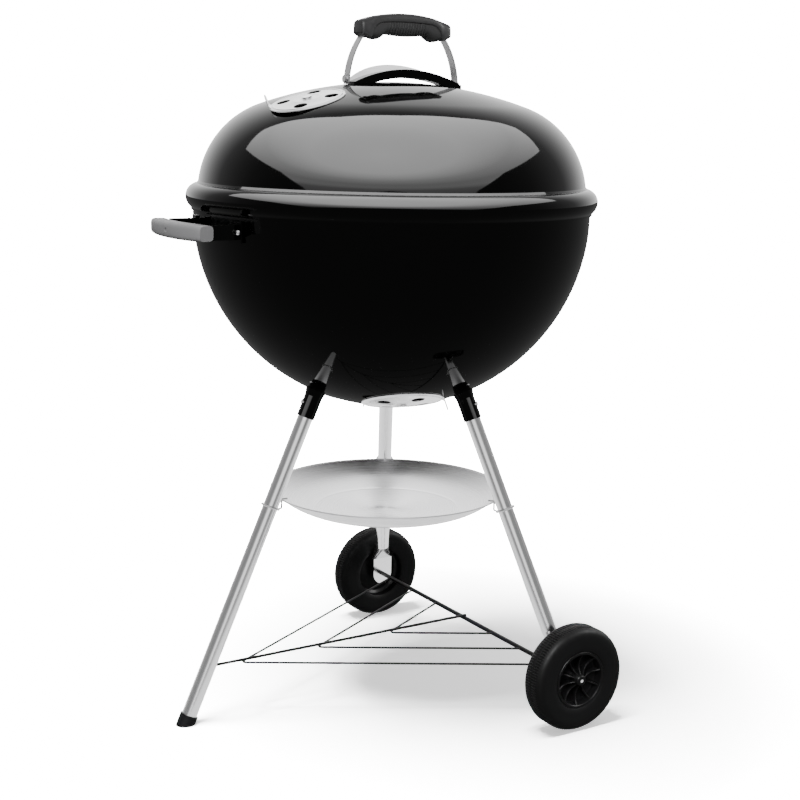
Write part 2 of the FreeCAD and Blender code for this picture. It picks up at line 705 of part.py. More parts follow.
def ash_pan():
    """Shallow spun pan with a flat floor and a small turned rim."""
    corners = [("0", "pan_floor_z"), ("pan_floor_radius", "pan_floor_z"),
               ("pan_radius - 5", "pan_rim_z - 4"), ("pan_radius", "pan_rim_z - 2"),
               ("pan_radius", "pan_rim_z"), ("pan_radius - 6", "pan_rim_z - 2.6"),
               ("pan_floor_radius - 1", "pan_floor_z + pan_wall"), ("0", "pan_floor_z + pan_wall")]
    curves = {1: ("110", 1), 5: ("109", -1)}
    return finish(lathe("AshPan", corners, curves), "ash_pan")


CLIP_Z = 303.0
CLIP_CLEAR = 1.9


def pan_clips():
    """Wire rings round the legs, each with an arm that holds the pan's rim."""
    for place, azimuth in LEGS.items():
        name = "PanClip" + place.title()
        up = leg_direction(azimuth)
        centre = leg_point(azimuth, CLIP_Z)
        loop = ring(name + "Loop", "leg_tube / 2 + gap + rack_wire / 2", "rack_wire / 2", centre, up)
        inward = up.cross(polar(1, azimuth + 90)).normalize()
        if inward.dot(polar(1, azimuth)) > 0:
            inward = inward * -1
        start = centre + inward * (size("leg_tube / 2 + rack_wire / 2") + 0.4)
        elbow = polar(size("pan_radius") + CLIP_CLEAR, azimuth, start.z + 1.0)
        hook = elbow + Vector(0, 0, size("pan_rim_z") + CLIP_CLEAR - 0.2 - elbow.z)
        tip = hook - polar(9.0, azimuth)
        arm = shaped(name + "Arm", bent_wire([start, elbow, hook, tip], [1.8, 1.8], size("rack_wire") * 0.9))
        finish(fuse(name, [loop, arm]), f"pan_clip_{place}")


# ---------------------------------------------------------------- lid handle

SHIELD_CREST = 918.0
SHIELD_END = 900.5
SHIELD_REACH = 30.0
SHIELD_CLIMB = 10.0
BRACKET_CREST = 920.0
BRACKET_END = 900.0
BRACKET_NEAR = -19.0
BRACKET_WIDTH = 18.0
BRACKET_DEPTH = 12.0


def arch(half_span, low, high):
    """Radius of the arch of a given span that rises from low to high."""
    rise = high - low
    return (half_span ** 2 + rise ** 2) / (2 * rise)


def lid_top(across):
    """Height of the lid's surface at a distance from its axis."""
    return size("lid_apex - lid_dome") + math.sqrt(size("lid_dome") ** 2 - across ** 2)


def sheet_arch(half_span, low, high, thickness, start_y, run):
    """A band arched along X, drawn out from start_y along a run."""
    start, top, end = Vector(-half_span, 0, low), Vector(0, 0, high), Vector(half_span, 0, low)
    drop = Vector(0, 0, -thickness)
    edges = [Part.Arc(start, top, end).toShape(), Part.LineSegment(end, end + drop).toShape(),
             Part.Arc(end + drop, top + drop, start + drop).toShape(),
             Part.LineSegment(start + drop, start).toShape()]
    face = Part.Face(Part.Wire(edges))
    face.translate(Vector(size("handle_offset"), start_y, 0))
    return face.extrude(run)


def bracket_half_span():
    """Half the length of bracket and shield, which fit between the straps."""
    return size("handle_span / 2 - strap_wall - 0.1")


def heat_shield():
    """Leaf of sheet steel behind the bracket, arched along the handle and rising to the rear."""
    half = bracket_half_span()
    start_y = BRACKET_NEAR + BRACKET_WIDTH + size("gap")
    band = sheet_arch(half, SHIELD_END, SHIELD_CREST, 1.2, start_y, Vector(0, SHIELD_REACH + 2, SHIELD_CLIMB))
    near = [Vector(half - 0.5, start_y - 1, 0), Vector(0.5 - half, start_y - 1, 0)]
    far = [Vector(0.5 - half, 4, 0), Vector(0, SHIELD_REACH, 0), Vector(half - 0.5, 4, 0)]
    edges = [Part.LineSegment(*near).toShape(), Part.LineSegment(near[1], far[0]).toShape(),
             Part.Arc(*far).toShape(), Part.LineSegment(far[2], near[0]).toShape()]
    column = Part.Face(Part.Wire(edges))
    column.translate(Vector(size("handle_offset"), 0, 860))
    return finish(shaped("HeatShield", band.common(column.extrude(Vector(0, 0, 100)))), "heat_shield")


def handle_bracket():
    """Black arched strap welded to the lid at both ends, which carries bow and shield."""
    half = bracket_half_span()
    across = Vector(0, BRACKET_WIDTH, 0)
    band = sheet_arch(half, BRACKET_END, BRACKET_CREST, BRACKET_DEPTH, BRACKET_NEAR, across)
    window = sheet_arch(half - 24, 884.0, BRACKET_CREST - BRACKET_DEPTH, 60.0, BRACKET_NEAR - 2, across * 1.3)
    feet = []
    for side in (-1, 1):
        corner = Vector(size("handle_offset") + side * (half - 11) - 11, BRACKET_NEAR, 877)
        feet.append(Part.makeBox(22, BRACKET_WIDTH, 24, corner))
    lid_space = Part.makeSphere(size("lid_dome"), Vector(0, 0, size("lid_apex - lid_dome")))
    strap = band.fuse(feet).cut(window).cut(lid_space)
    return finish(shaped("HandleBracket", strap), "handle_bracket")


STRAP_BELLY_Z = 931.0
STRAP_HEAD_Z = 971.0
STRAP_FOOT_GAP = 0.8


def strap_face_arc(side):
    """The arc of a strap's outer face, from the lid up into the grip."""
    foot_x = side * size("handle_span / 2")
    foot = Vector(foot_x, 0, lid_top(foot_x + size("handle_offset")) + STRAP_FOOT_GAP)
    belly = Vector(foot_x - side * 5.5, 0, STRAP_BELLY_Z)
    head = Vector(side * (size("grip_length / 2") - 10.5), 0, STRAP_HEAD_Z)
    return foot, belly, head


def strap_shape(side, spare=0.0):
    """One bowed strap, made wider, thicker and longer by some spare for its pocket in the grip."""
    out = Vector(side * spare, 0, 0)
    foot, belly, head = [point + out for point in strap_face_arc(side)]
    head += Vector(0, 0, spare)
    inward = Vector(-side * (size("strap_wall") + 2 * spare), 0, 0)
    edges = [Part.Arc(foot, belly, head).toShape(), Part.LineSegment(head, head + inward).toShape(),
             Part.Arc(head + inward, belly + inward, foot + inward).toShape(),
             Part.LineSegment(foot + inward, foot).toShape()]
    face = Part.Face(Part.Wire(edges))
    width = size("strap_width") + 2 * spare
    face.translate(Vector(size("handle_offset"), -width / 2, 0))
    return face.extrude(Vector(0, width, 0))


def handle_straps():
    """The two bowed steel straps that carry the grip, one at each end."""
    straps = [shaped("Strap", strap_shape(side)) for side in (-1, 1)]
    return finish(group("HandleStraps", straps), "handle_straps")


GRIP_CROWN = 997.0
GRIP_END_TOP = 985.0
GRIP_END_BOTTOM = 968.0
PARTING_CURVE = 32.0


def both_halves(right_side):
    """The corners of one half of the grip's outline, mirrored about the handle's middle."""
    left_side = [(f"handle_offset - ({across})", up) for across, up in reversed(right_side)]
    return [(f"handle_offset + {across}", up) for across, up in right_side] + left_side


def grip_top():
    """Upper half of the moulded grip, arched along its length, with pockets for the straps."""
    half = "grip_length / 2"
    corners = both_halves([(half, str(GRIP_END_TOP)), (half, str(GRIP_END_BOTTOM)), ("60", "961"),
                           ("58", "964"), ("36", "982.6")])
    crown = arch(size(half), GRIP_END_TOP, GRIP_CROWN)
    curves = {3: (PARTING_CURVE, 1), 4: (arch(36, 982.6, 984.6), 1), 5: (PARTING_CURVE, 1), 9: (crown, -1)}
    moulding = slab("GripMoulding", "XZ_Plane", corners, curves, "grip_width", "5.5", GRIP_END_TOP - 1)
    pockets = [shaped("StrapPocket", strap_shape(side, size("gap"))) for side in (-1, 1)]
    return finish(cut("GripTop", moulding, group("StrapPockets", pockets)), "grip_top")


def grip_insert():
    """Lower half of the grip, which closes the hollow between the lobes."""
    corners = both_halves([("36", "982.2"), ("57.6", "963.6"), ("53", "959.6"), ("34", "968.5")])
    curves = {0: (PARTING_CURVE, -1), 3: (arch(34, 964.8, 968.5), 1), 6: (PARTING_CURVE, -1),
              7: (arch(36, 982.2, 984.2), -1)}
    return slab("GripInsert", "XZ_Plane", corners, curves, "grip_width - 3")


RIB_SLOTS = 14
RIB_RUN = 58.0
RIB_SLOT_WIDTH = 2.2
RIB_SLOT_DEPTH = 5.0


def ribbed_insert():
    """Cut the finger ribs into the grip's lower half."""
    body = grip_insert()
    slots = []
    for index in range(RIB_SLOTS):
        across = size("handle_offset") + RIB_RUN * (index / (RIB_SLOTS - 1) - 0.5) - RIB_SLOT_WIDTH / 2
        for side in (-1, 1):
            face = side * size("grip_width - 3") / 2
            place = Placement(Vector(across, face - RIB_SLOT_DEPTH / 2, 960), Rotation())
            slots.append(box("RibSlot", RIB_SLOT_WIDTH, RIB_SLOT_DEPTH, 17.0, place))
    return finish(cut("GripRibbed", body, group("RibSlots", slots)), "grip_insert")


BOLT_ABOVE_LID = 7.5


def handle_fasteners():
    """Bolts with washers that hold the straps to the bracket, square on the straps' outer faces."""
    bolts = []
    for side in (-1, 1):
        foot, belly, head = strap_face_arc(side)
        face = Part.Arc(foot, belly, head).toShape().Curve
        rise = foot.z - STRAP_FOOT_GAP + BOLT_ABOVE_LID - face.Center.z
        seat = face.Center + Vector(side * math.sqrt(face.Radius ** 2 - rise ** 2), 0, rise)
        out = (seat - face.Center).normalize()
        seat += out * 0.05 + Vector(size("handle_offset"), 0, 0)
        head = cylinder("HandleBoltHead", "5", "3", seat + out * 1.2, out)
        washer = cylinder("HandleBoltWasher", "6.5", "1.2", seat, out)
        bolts.append(fuse("HandleBolt", [head, washer]))
    return finish(group("HandleBolts", bolts), "handle_bolts")


def lid_hook():
    """Hook inside the lid that hangs it on the bowl's edge while cooking."""
    roof = 884.0
    points = [Vector(150, 0, roof - 1), Vector(150, 0, roof - 60), Vector(172, 0, roof - 60),
              Vector(172, 0, roof - 40)]
    shape = bent_wire(points, [9, 9], 5.0)
    lid_space = Part.makeSphere(size("lid_dome - wall") - 0.1, Vector(0, 0, size("lid_apex - lid_dome")))
    return finish(shaped("LidHook", shape.common(lid_space)), "lid_hook")


# ---------------------------------------------------------------- side handle

PLATE_Y = 66.0
PAD_PROUD = 2.4


def side_grip():
    """Curved moulded grip on the foot-leg side, with a sunk fixing hole in its outer face."""
    reach, half = "(0 - side_grip_x)", "side_grip_half"
    corners = [(f"{reach} + 12", f"0 - {half}"), (f"{reach} + 36", f"4 - {half}"),
               (f"{reach} + 36", f"{half} - 4"), (f"{reach} + 12", half)]
    curves = {1: (arch(size(half) - 4, 0, 11), -1), 3: (arch(size(half), 0, 12), 1)}
    body = slab("SideGrip", "XY_Plane", corners, curves, "side_grip_height", "7")
    body.Placement = Placement(Vector(0, 0, size("side_grip_z")), Rotation())
    recess = cylinder("SideGripRecess", "7", "3", Vector(-size("side_grip_x") - 1, 0, size("side_grip_z")),
                      Vector(1, 0, 0))
    return finish(cut("SideGripDished", body, recess), "side_handle_grip")


def side_brackets():
    """Two black plates that carry the side grip, each on a pad that follows the bowl's wall."""
    plates, pads = [], []
    for side in (-1, 1):
        plate_base = Vector(-316, side * PLATE_Y - 2, size("side_grip_z") - 10)
        plates.append(box("SidePlate", "60", "4", "20", Placement(plate_base, Rotation())))
        pad_base = Vector(-300, side * PLATE_Y - 12, size("side_grip_z") - 14)
        pads.append(box("SidePad", "50", "24", "28", Placement(pad_base, Rotation())))
    bowl_space = cylinder("SideBowlSpace", "rim_radius - 0.1", "80", Vector(0, 0, 660))
    pad_limit = cylinder("SidePadLimit", f"rim_radius + {PAD_PROUD}", "80", Vector(0, 0, 660))
    curved_pads = common("SidePads", [group("SidePadPair", pads), pad_limit])
    solid = fuse("SideBracketSolid", plates + [curved_pads])
    return finish(cut("SideBracket", solid, bowl_space), "side_handle_brackets")


def side_screws():
    """Domed screw heads, two on each pad of the side handle."""
    face = size("rim_radius") + PAD_PROUD + 0.02
    screws = []
    for side in (-1, 1):
        for across in (-7, 7):
            azimuth = 180 - side * math.degrees(math.asin((PLATE_Y + across) / face))
            screws.append(ball("SideScrew", "3.4", polar(face, azimuth, size("side_grip_z"))))
    keep_off = cylinder("SideScrewSpace", f"{face}", "80", Vector(0, 0, 660))
    heads = [cut("SideScrewHead", screw, keep_off) for screw in screws]
    return finish(group("SideScrews", heads), "side_handle_screws")


# ---------------------------------------------------------------- grates

def rods_across(name, limit, height, spacing, radius):
    """Parallel rods along X that fill a circle and end at its edge."""
    rods = []
    thick = size(radius)
    count = int(limit // spacing)
    for index in range(-count, count + 1):
        across = index * spacing
        if abs(across) + thick < limit - 4:
            reach = math.sqrt(limit ** 2 - (abs(across) + thick) ** 2)
            start = Vector(-reach, across, height)
            rods.append(cylinder(name, radius, f"{2 * reach}", start, Vector(1, 0, 0)))
    return rods


def cross_bars(name, limit, height, places, radius):
    """Bars along Y under the rods."""
    bars = []
    drop = 2 * size(radius) + 0.02
    for across in places:
        reach = math.sqrt(limit ** 2 - (abs(across) + size(radius)) ** 2)
        start = Vector(across, -reach, height - drop)
        bars.append(cylinder(name, radius, f"{2 * reach}", start, Vector(0, 1, 0)))
    return bars


def cooking_grate():
    """Round plated grate: a hoop, parallel rods that meet it and two cross bars below."""
    height = size("cooking_grate_z")
    hoop = ring("CookingHoop", "cooking_grate_radius", "grate_rod / 2 + 0.5", Vector(0, 0, height))
    limit = size("cooking_grate_radius - grate_rod / 2 - 0.6")
    rods = rods_across("CookingRod", limit, height, 19.0, "grate_rod / 2")
    bars = cross_bars("CookingBar", limit, height, (-130, 130), "grate_rod / 2")
    return finish(group("CookingGrate", [hoop] + rods + bars), "cooking_grate")


def charcoal_grate():
    """Heavier lower grate of parallel rods on two cross bars."""
    height = size("charcoal_grate_z")
    limit = size("charcoal_grate_radius")
    rods = rods_across("CharcoalRod", limit, height, 24.0, "grate_rod / 2 + 0.6")
    bars = cross_bars("CharcoalBar", limit, height, (-110, 110), "grate_rod / 2 + 0.6")
    return finish(group("CharcoalGrate", rods + bars), "charcoal_grate")


def grate_tabs():
    """Small shelves welded inside the bowl that the two grates rest on."""
    tabs = []
    shelves = [(size("cooking_grate_z") - 3.3, 24.0), (size("charcoal_grate_z") - 3.4, 26.0)]
    bowl_centre = Vector(0, 0, size("bowl_floor + bowl_dome"))
    for level, depth in shelves:
        wall_r = math.sqrt(size("bowl_dome - wall") ** 2 - (bowl_centre.z - level) ** 2)
        for azimuth in (30, 150, 210, 330):
            turn = Rotation(Vector(0, 0, 1), azimuth)
            corner = polar(wall_r - depth, azimuth, level - 2.0) + turn.multVec(Vector(0, -9, 0))
            place = Placement(corner, turn)
            tabs.append(box("GrateTab", f"{depth + 10}", "18", "2", place))
    inside = ball("TabLimit", "bowl_dome - wall - 0.02", bowl_centre)
    side_r = "bowl_side + (bowl_dome - bowl_side) * sin(bowl_blend) - wall - 0.4"
    wall_limit = cylinder("TabWallLimit", side_r, "600", Vector(0, 0, 400))
    return finish(common("GrateTabs", [group("GrateTabSet", tabs), inside, wall_limit]), "grate_tabs")


# ---------------------------------------------------------------- assembly

def build():
    bowl_shell()
    lid_shell()
    dampers()
    for place, azimuth in LEGS.items():
        socket(place, azimuth)
    foot_leg()
    foot_cap()
    axle_leg("left")
    axle_leg("right")
    leg_buttons()
    wheels()
    rack_wires()
    rack_spine()
    ash_pan()
    pan_clips()
    heat_shield()
    handle_bracket()
    handle_straps()
    grip_top()
    ribbed_insert()
    handle_fasteners()
    lid_hook()
    side_grip()
    side_brackets()
    side_screws()
    cooking_grate()
    charcoal_grate()
    grate_tabs()


def check_and_write():
    """Recompute, refuse anything broken, then write one STEP file per piece."""
    doc.recompute()
    for thing in doc.Objects:
        if "Invalid" in thing.State or "Error" in thing.State:
            raise RuntimeError(f"{thing.Name} ({thing.Label}) is {thing.State}")
    os.makedirs("parts", exist_ok=True)
    for piece in FINISHED:
        shape = piece.Shape
        if shape.isNull() or not shape.isValid() or not shape.Solids:
            raise RuntimeError(f"{piece.Label} has no valid solid")
        shape.exportStep(f"parts/{piece.Label}.step")
        print(f"{piece.Label}: {len(shape.Solids)} solid(s), {shape.Volume:.0f} mm3")


build()
check_and_write()
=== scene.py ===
import math

import bmesh
import bpy
from mathutils import Matrix, Vector

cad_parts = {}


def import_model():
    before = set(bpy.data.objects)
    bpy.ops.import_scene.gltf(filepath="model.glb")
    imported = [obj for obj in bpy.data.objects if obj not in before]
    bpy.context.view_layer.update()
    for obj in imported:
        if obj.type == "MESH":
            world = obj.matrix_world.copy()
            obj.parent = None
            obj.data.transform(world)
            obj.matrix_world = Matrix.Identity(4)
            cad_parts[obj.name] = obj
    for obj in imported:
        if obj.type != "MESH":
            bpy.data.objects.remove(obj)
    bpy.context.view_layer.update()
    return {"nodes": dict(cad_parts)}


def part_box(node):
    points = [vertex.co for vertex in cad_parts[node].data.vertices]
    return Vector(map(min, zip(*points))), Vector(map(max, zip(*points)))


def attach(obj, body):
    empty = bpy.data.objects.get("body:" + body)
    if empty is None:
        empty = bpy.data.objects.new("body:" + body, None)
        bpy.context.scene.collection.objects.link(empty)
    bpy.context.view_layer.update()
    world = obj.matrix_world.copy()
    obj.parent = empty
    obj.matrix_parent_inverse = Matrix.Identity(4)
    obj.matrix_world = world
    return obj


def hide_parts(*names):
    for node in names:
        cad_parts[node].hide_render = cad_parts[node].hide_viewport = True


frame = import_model()

MM = 0.001
TURN = 2 * math.pi
scene = bpy.context.scene


# ---------------------------------------------------------------- mesh building

def new_mesh(name, verts, faces):
    """An object from a list of points in metres and faces."""
    mesh = bpy.data.meshes.new(name)
    mesh.from_pydata([tuple(v) for v in verts], [], faces)
    mesh.validate()
    obj = bpy.data.objects.new(name, mesh)
    scene.collection.objects.link(obj)
    return obj


def tidy_normals(obj, sharp_degrees=32.0):
    """Point faces outwards, shade them smooth and keep real corners sharp."""
    bm = bmesh.new()
    bm.from_mesh(obj.data)
    bmesh.ops.remove_doubles(bm, verts=bm.verts, dist=1e-6)
    bmesh.ops.recalc_face_normals(bm, faces=bm.faces)
    limit = math.radians(sharp_degrees)
    for edge in bm.edges:
        edge.smooth = len(edge.link_faces) == 2 and edge.calc_face_angle(0.0) < limit
    for face in bm.faces:
        face.smooth = True
    bm.to_mesh(obj.data)
    bm.free()
    return obj


def arc(centre_r, centre_z, radius, start, end, steps):
    """Points in the (radius, height) plane along an arc, angles in degrees."""
    points = []
    for i in range(steps + 1):
        angle = math.radians(start + (end - start) * i / steps)
        points.append((centre_r + radius * math.cos(angle), centre_z + radius * math.sin(angle)))
    return points


def turned(name, outline, steps=160, place=None, wave=None):
    """Turn a closed outline of (radius, height) in mm round its own Z axis."""
    place = place or Matrix.Identity(4)
    verts, faces, rings = [], [], []
    for index, (radius, height) in enumerate(outline):
        if radius < 1e-4:
            rings.append([len(verts)] * steps)
            verts.append(place @ (Vector((0, 0, height)) * MM))
            continue
        rings.append(list(range(len(verts), len(verts) + steps)))
        for i in range(steps):
            reach = radius + (wave(index, i) if wave else 0.0)
            angle = TURN * i / steps
            point = Vector((reach * math.cos(angle), reach * math.sin(angle), height))
            verts.append(place @ (point * MM))
    for a, b in zip(rings, rings[1:] + rings[:1]):
        for i in range(steps):
            j = (i + 1) % steps
            corners = []
            for v in (a[i], a[j], b[j], b[i]):
                if v not in corners:
                    corners.append(v)
            if len(corners) > 2:
                faces.append(corners)
    return tidy_normals(new_mesh(name, verts, faces))


def swept(name, path, section, closed=False, up=Vector((0, 0, 1))):
    """Sweep a closed section of (side, up) offsets along points, all in metres."""
    verts, faces = [], []
    count = len(path)
    for i, point in enumerate(path):
        ahead = path[(i + 1) % count] if closed or i < count - 1 else path[i]
        behind = path[i - 1] if closed or i else path[i]
        along = (ahead - behind).normalized()
        side = along.cross(up).normalized()
        lift = side.cross(along).normalized()
        outline = section(i / (count - 1)) if callable(section) else section
        verts += [point + side * a + lift * b for a, b in outline]
    size = len(verts) // count
    for i in range(count if closed else count - 1):
        j = (i + 1) % count
        for k in range(size):
            m = (k + 1) % size
            faces.append([i * size + k, i * size + m, j * size + m, j * size + k])
    if not closed:
        faces.append(list(range(size)))
        faces.append(list(range((count - 1) * size, count * size)))
    return tidy_normals(new_mesh(name, verts, faces))


def oval(half_side, half_up, power=2.0, steps=32):
    """A rounded section: power 2 is an ellipse, more is boxier."""
    points = []
    for i in range(steps):
        angle = TURN * i / steps
        c, s = math.cos(angle), math.sin(angle)
        points.append((half_side * math.copysign(abs(c) ** (2 / power), c),
                       half_up * math.copysign(abs(s) ** (2 / power), s)))
    return points


def apply_modifiers(obj):
    """Bake an object's modifiers into its mesh."""
    graph = bpy.context.evaluated_depsgraph_get()
    graph.update()
    mesh = bpy.data.meshes.new_from_object(obj.evaluated_get(graph))
    obj.modifiers.clear()
    obj.data = mesh
    return obj


def softened(obj, width, segments=3, angle=35.0):
    """Round an object's corners."""
    bevel = obj.modifiers.new("round", "BEVEL")
    bevel.width = width
    bevel.segments = segments
    bevel.limit_method = "ANGLE"
    bevel.angle_limit = math.radians(angle)
    return tidy_normals(apply_modifiers(obj), 40.0)


def drilled(obj, cutters):
    """Cut holes with a list of cutter objects, which are then thrown away."""
    for cutter in cutters:
        hole = obj.modifiers.new("hole", "BOOLEAN")
        hole.operation = "DIFFERENCE"
        hole.solver = "EXACT"
        hole.object = cutter
    apply_modifiers(obj)
    for cutter in cutters:
        bpy.data.objects.remove(cutter)
    return tidy_normals(obj, 25.0)


def joined(name, parts):
    """Join several objects into one piece."""
    bm = bmesh.new()
    for part in parts:
        bm.from_mesh(part.data)
        bpy.data.objects.remove(part)
    mesh = bpy.data.meshes.new(name)
    bm.to_mesh(mesh)
    bm.free()
    obj = bpy.data.objects.new(name, mesh)
    scene.collection.objects.link(obj)
    return obj


def finished(obj, body, slot, material, *nodes):
    """Give a piece its material and body and hide the CAD nodes it stands for; the slot argument is not used."""
    obj.data.materials.clear()
    obj.data.materials.append(material)
    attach(obj, body)
    if nodes:
        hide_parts(*nodes)
    return obj


# ---------------------------------------------------------------- materials

class Surface:
    """A Principled material with helpers for procedural colour, roughness and relief."""

    def __init__(self, name, colour, roughness, metallic=0.0, specular=0.5, coat=0.0, coat_rough=0.05,
                 anisotropic=0.0):
        self.material = bpy.data.materials.new(name)
        self.material.use_nodes = True
        self.nodes = self.material.node_tree.nodes
        self.links = self.material.node_tree.links
        self.shader = self.nodes["Principled BSDF"]
        self.colour = colour
        values = {"Roughness": roughness, "Metallic": metallic, "Specular IOR Level": specular,
                  "Coat Weight": coat, "Coat Roughness": coat_rough, "Anisotropic": anisotropic}
        for socket, value in values.items():
            self.shader.inputs[socket].default_value = value
        self.shader.inputs["Base Color"].default_value = (*colour, 1)

    def add(self, kind, **values):
        node = self.nodes.new(kind)
        for key, value in values.items():
            setattr(node, key, value)
        return node

    def coordinates(self, scale=(1, 1, 1)):
        place = self.add("ShaderNodeTexCoord")
        mapping = self.add("ShaderNodeMapping")
        mapping.inputs["Scale"].default_value = scale
        self.links.new(place.outputs["Object"], mapping.inputs["Vector"])
        return mapping.outputs["Vector"]

    def noise(self, scale, detail=3.0, stretch=(1, 1, 1), rough=0.55):
        node = self.add("ShaderNodeTexNoise")
        node.inputs["Scale"].default_value = scale
        node.inputs["Detail"].default_value = detail
        node.inputs["Roughness"].default_value = rough
        self.links.new(self.coordinates(stretch), node.inputs["Vector"])
        return node.outputs["Fac"]

    def ramp(self, fac, low, high, start=0.3, end=0.7):
        node = self.add("ShaderNodeMapRange")
        node.inputs["From Min"].default_value = start
        node.inputs["From Max"].default_value = end
        node.inputs["To Min"].default_value = low
        node.inputs["To Max"].default_value = high
        self.links.new(fac, node.inputs["Value"])
        return node.outputs["Result"]

    def vary_colour(self, fac, low, high):
        """Let the base colour drift between two shades of itself."""
        node = self.add("ShaderNodeMix", data_type="RGBA")
        node.inputs["A"].default_value = (*[c * low for c in self.colour], 1)
        node.inputs["B"].default_value = (*[c * high for c in self.colour], 1)
        self.links.new(fac, node.inputs["Factor"])
        self.links.new(node.outputs["Result"], self.shader.inputs["Base Color"])
        return self

    def vary_roughness(self, fac, low, high):
        self.links.new(self.ramp(fac, low, high), self.shader.inputs["Roughness"])
        return self

    def relief(self, fac, strength, distance):
        node = self.add("ShaderNodeBump")
        node.inputs["Strength"].default_value = strength
        node.inputs["Distance"].default_value = distance
        self.links.new(fac, node.inputs["Height"])
        self.links.new(node.outputs["Normal"], self.shader.inputs["Normal"])
        return self

    def turned_grain(self, centre=(0, 0, 0), axis="Z"):
        """Fine rings round an axis, as a spun or face-turned sheet has."""
        place = self.add("ShaderNodeTexCoord")
        shift = self.add("ShaderNodeVectorMath", operation="SUBTRACT")
        shift.inputs[1].default_value = centre
        flat = self.add("ShaderNodeVectorMath", operation="MULTIPLY")
        flat.inputs[1].default_value = (1, 1, 0)
        length = self.add("ShaderNodeVectorMath", operation="LENGTH")
        self.links.new(place.outputs["Object"], shift.inputs[0])
        self.links.new(shift.outputs["Vector"], flat.inputs[0])
        self.links.new(flat.outputs["Vector"], length.inputs[0])
        node = self.add("ShaderNodeTexNoise")
        node.noise_dimensions = "1D"
        node.inputs["Scale"].default_value = 900.0
        node.inputs["Detail"].default_value = 4.0
        self.links.new(length.outputs["Value"], node.inputs["W"])
        return node.outputs["Fac"]


def enamel():
    """Deep gloss black porcelain enamel with a faint orange-peel."""
    look = Surface("black_enamel", (0.0014, 0.0014, 0.0015), 0.045, specular=0.28)
    look.vary_colour(look.noise(9.0), 0.8, 1.3)
    look.vary_roughness(look.noise(35.0), 0.035, 0.06)
    return look.relief(look.noise(420.0, 2.0), 0.02, 0.0002).material


def satin_black(name, shade, roughness, grain=900.0, depth=0.0002):
    """Black coating or moulding with a fine grain."""
    look = Surface(name, (shade, shade, shade * 1.04), roughness, specular=0.4)
    look.vary_colour(look.noise(22.0), 0.75, 1.3)
    look.vary_roughness(look.noise(160.0), roughness * 0.85, roughness * 1.15)
    return look.relief(look.noise(grain, 2.0), 0.18, depth).material


def spun_aluminium(name, shade, roughness, centre=(0, 0, 0)):
    """Bare aluminium with the fine rings of spinning."""
    look = Surface(name, (shade, shade, shade * 1.01), roughness, metallic=1.0, anisotropic=0.82)
    grain = look.turned_grain(centre)
    look.vary_colour(grain, 0.86, 1.05)
    look.vary_roughness(grain, roughness * 0.85, roughness * 1.2)
    tangent = look.add("ShaderNodeTangent", direction_type="RADIAL", axis="Z")
    look.links.new(tangent.outputs["Tangent"], look.shader.inputs["Tangent"])
    return look.relief(grain, 0.05, 0.0002).material


def drawn_metal(name, shade, roughness, along=(1, 1, 0.02), anisotropic=0.0):
    """Metal with long fine lines, as drawn tube or rolled strip has."""
    look = Surface(name, (shade, shade, shade * 1.01), roughness, metallic=1.0, anisotropic=anisotropic)
    lines = look.noise(260.0, 4.0, along)
    look.vary_colour(lines, 0.9, 1.04)
    look.vary_roughness(lines, roughness * 0.85, roughness * 1.2)
    return look.relief(look.noise(700.0, 3.0, along), 0.04, 0.0001).material


def scratched_metal(name, shade, roughness):
    """Sheet aluminium or plated steel with a soft cross-grain and worn patches."""
    look = Surface(name, (shade, shade, shade * 1.01), roughness, metallic=1.0)
    look.vary_colour(look.noise(60.0, 5.0), 0.82, 1.06)
    look.vary_roughness(look.noise(240.0, 5.0, (1, 6, 1)), roughness * 0.7, roughness * 1.4)
    return look.relief(look.noise(500.0, 3.0, (1, 5, 1)), 0.06, 0.0002).material


def nylon(name, shade, roughness=0.42):
    """Glass-filled nylon: charcoal grey with a fine leathery grain."""
    look = Surface(name, (shade, shade, shade * 1.02), roughness, specular=0.45)
    look.vary_colour(look.noise(14.0), 0.85, 1.15)
    look.vary_roughness(look.noise(220.0), roughness * 0.85, roughness * 1.2)
    return look.relief(look.noise(1400.0, 2.0), 0.12, 0.0003).material


ENAMEL = enamel()
PAN = spun_aluminium("pan_spun_aluminium", 0.74, 0.30)
DAMPER = scratched_metal("damper_sheet_aluminium", 0.78, 0.28)
RIVET = scratched_metal("rivet_aluminium", 0.85, 0.2)
LEG = drawn_metal("leg_drawn_tube", 0.74, 0.17)
PLATED = scratched_metal("zinc_plated_steel", 0.66, 0.25)
CAP = satin_black("cap_plastic", 0.012, 0.45)
TYRE = satin_black("tyre_plastic", 0.006, 0.5, 600.0, 0.0003)
RIM = satin_black("rim_plastic", 0.008, 0.36)
WIRE = satin_black("wire_coating", 0.006, 0.35)
SHIELD = drawn_metal("shield_steel", 0.6, 0.42, (0.03, 1, 1))
STRAP = drawn_metal("strap_steel", 0.62, 0.4, (1, 1, 0.05))
GRIP_DARK = nylon("grip_charcoal_nylon", 0.035)
GRIP_LOWER = nylon("grip_insert_nylon", 0.028, 0.5)
GRIP_SIDE = nylon("side_grip_nylon", 0.3, 0.45)
CHROME = scratched_metal("grate_plating", 0.72, 0.18)


# ---------------------------------------------------------------- bowl and lid

WALL = 1.0
BOWL_FLOOR, BOWL_DOME, BOWL_SIDE = 438.0, 285.5, 242.0
BOWL_BLEND, BOWL_DRAFT = 78.7, 1.8
RIM_R, RIM_Z, RIM_ROLL = 285.6, 751.6, 4.0
LID_APEX, LID_DOME, LID_SIDE = 902.5, 567.0, 133.0
LID_BLEND, LID_FOOT = 19.534, 5.917
BEAD_R, BEAD_Z, BEAD = 276.44, 739.7, 18.56
SKIRT_FOOT = 721.5


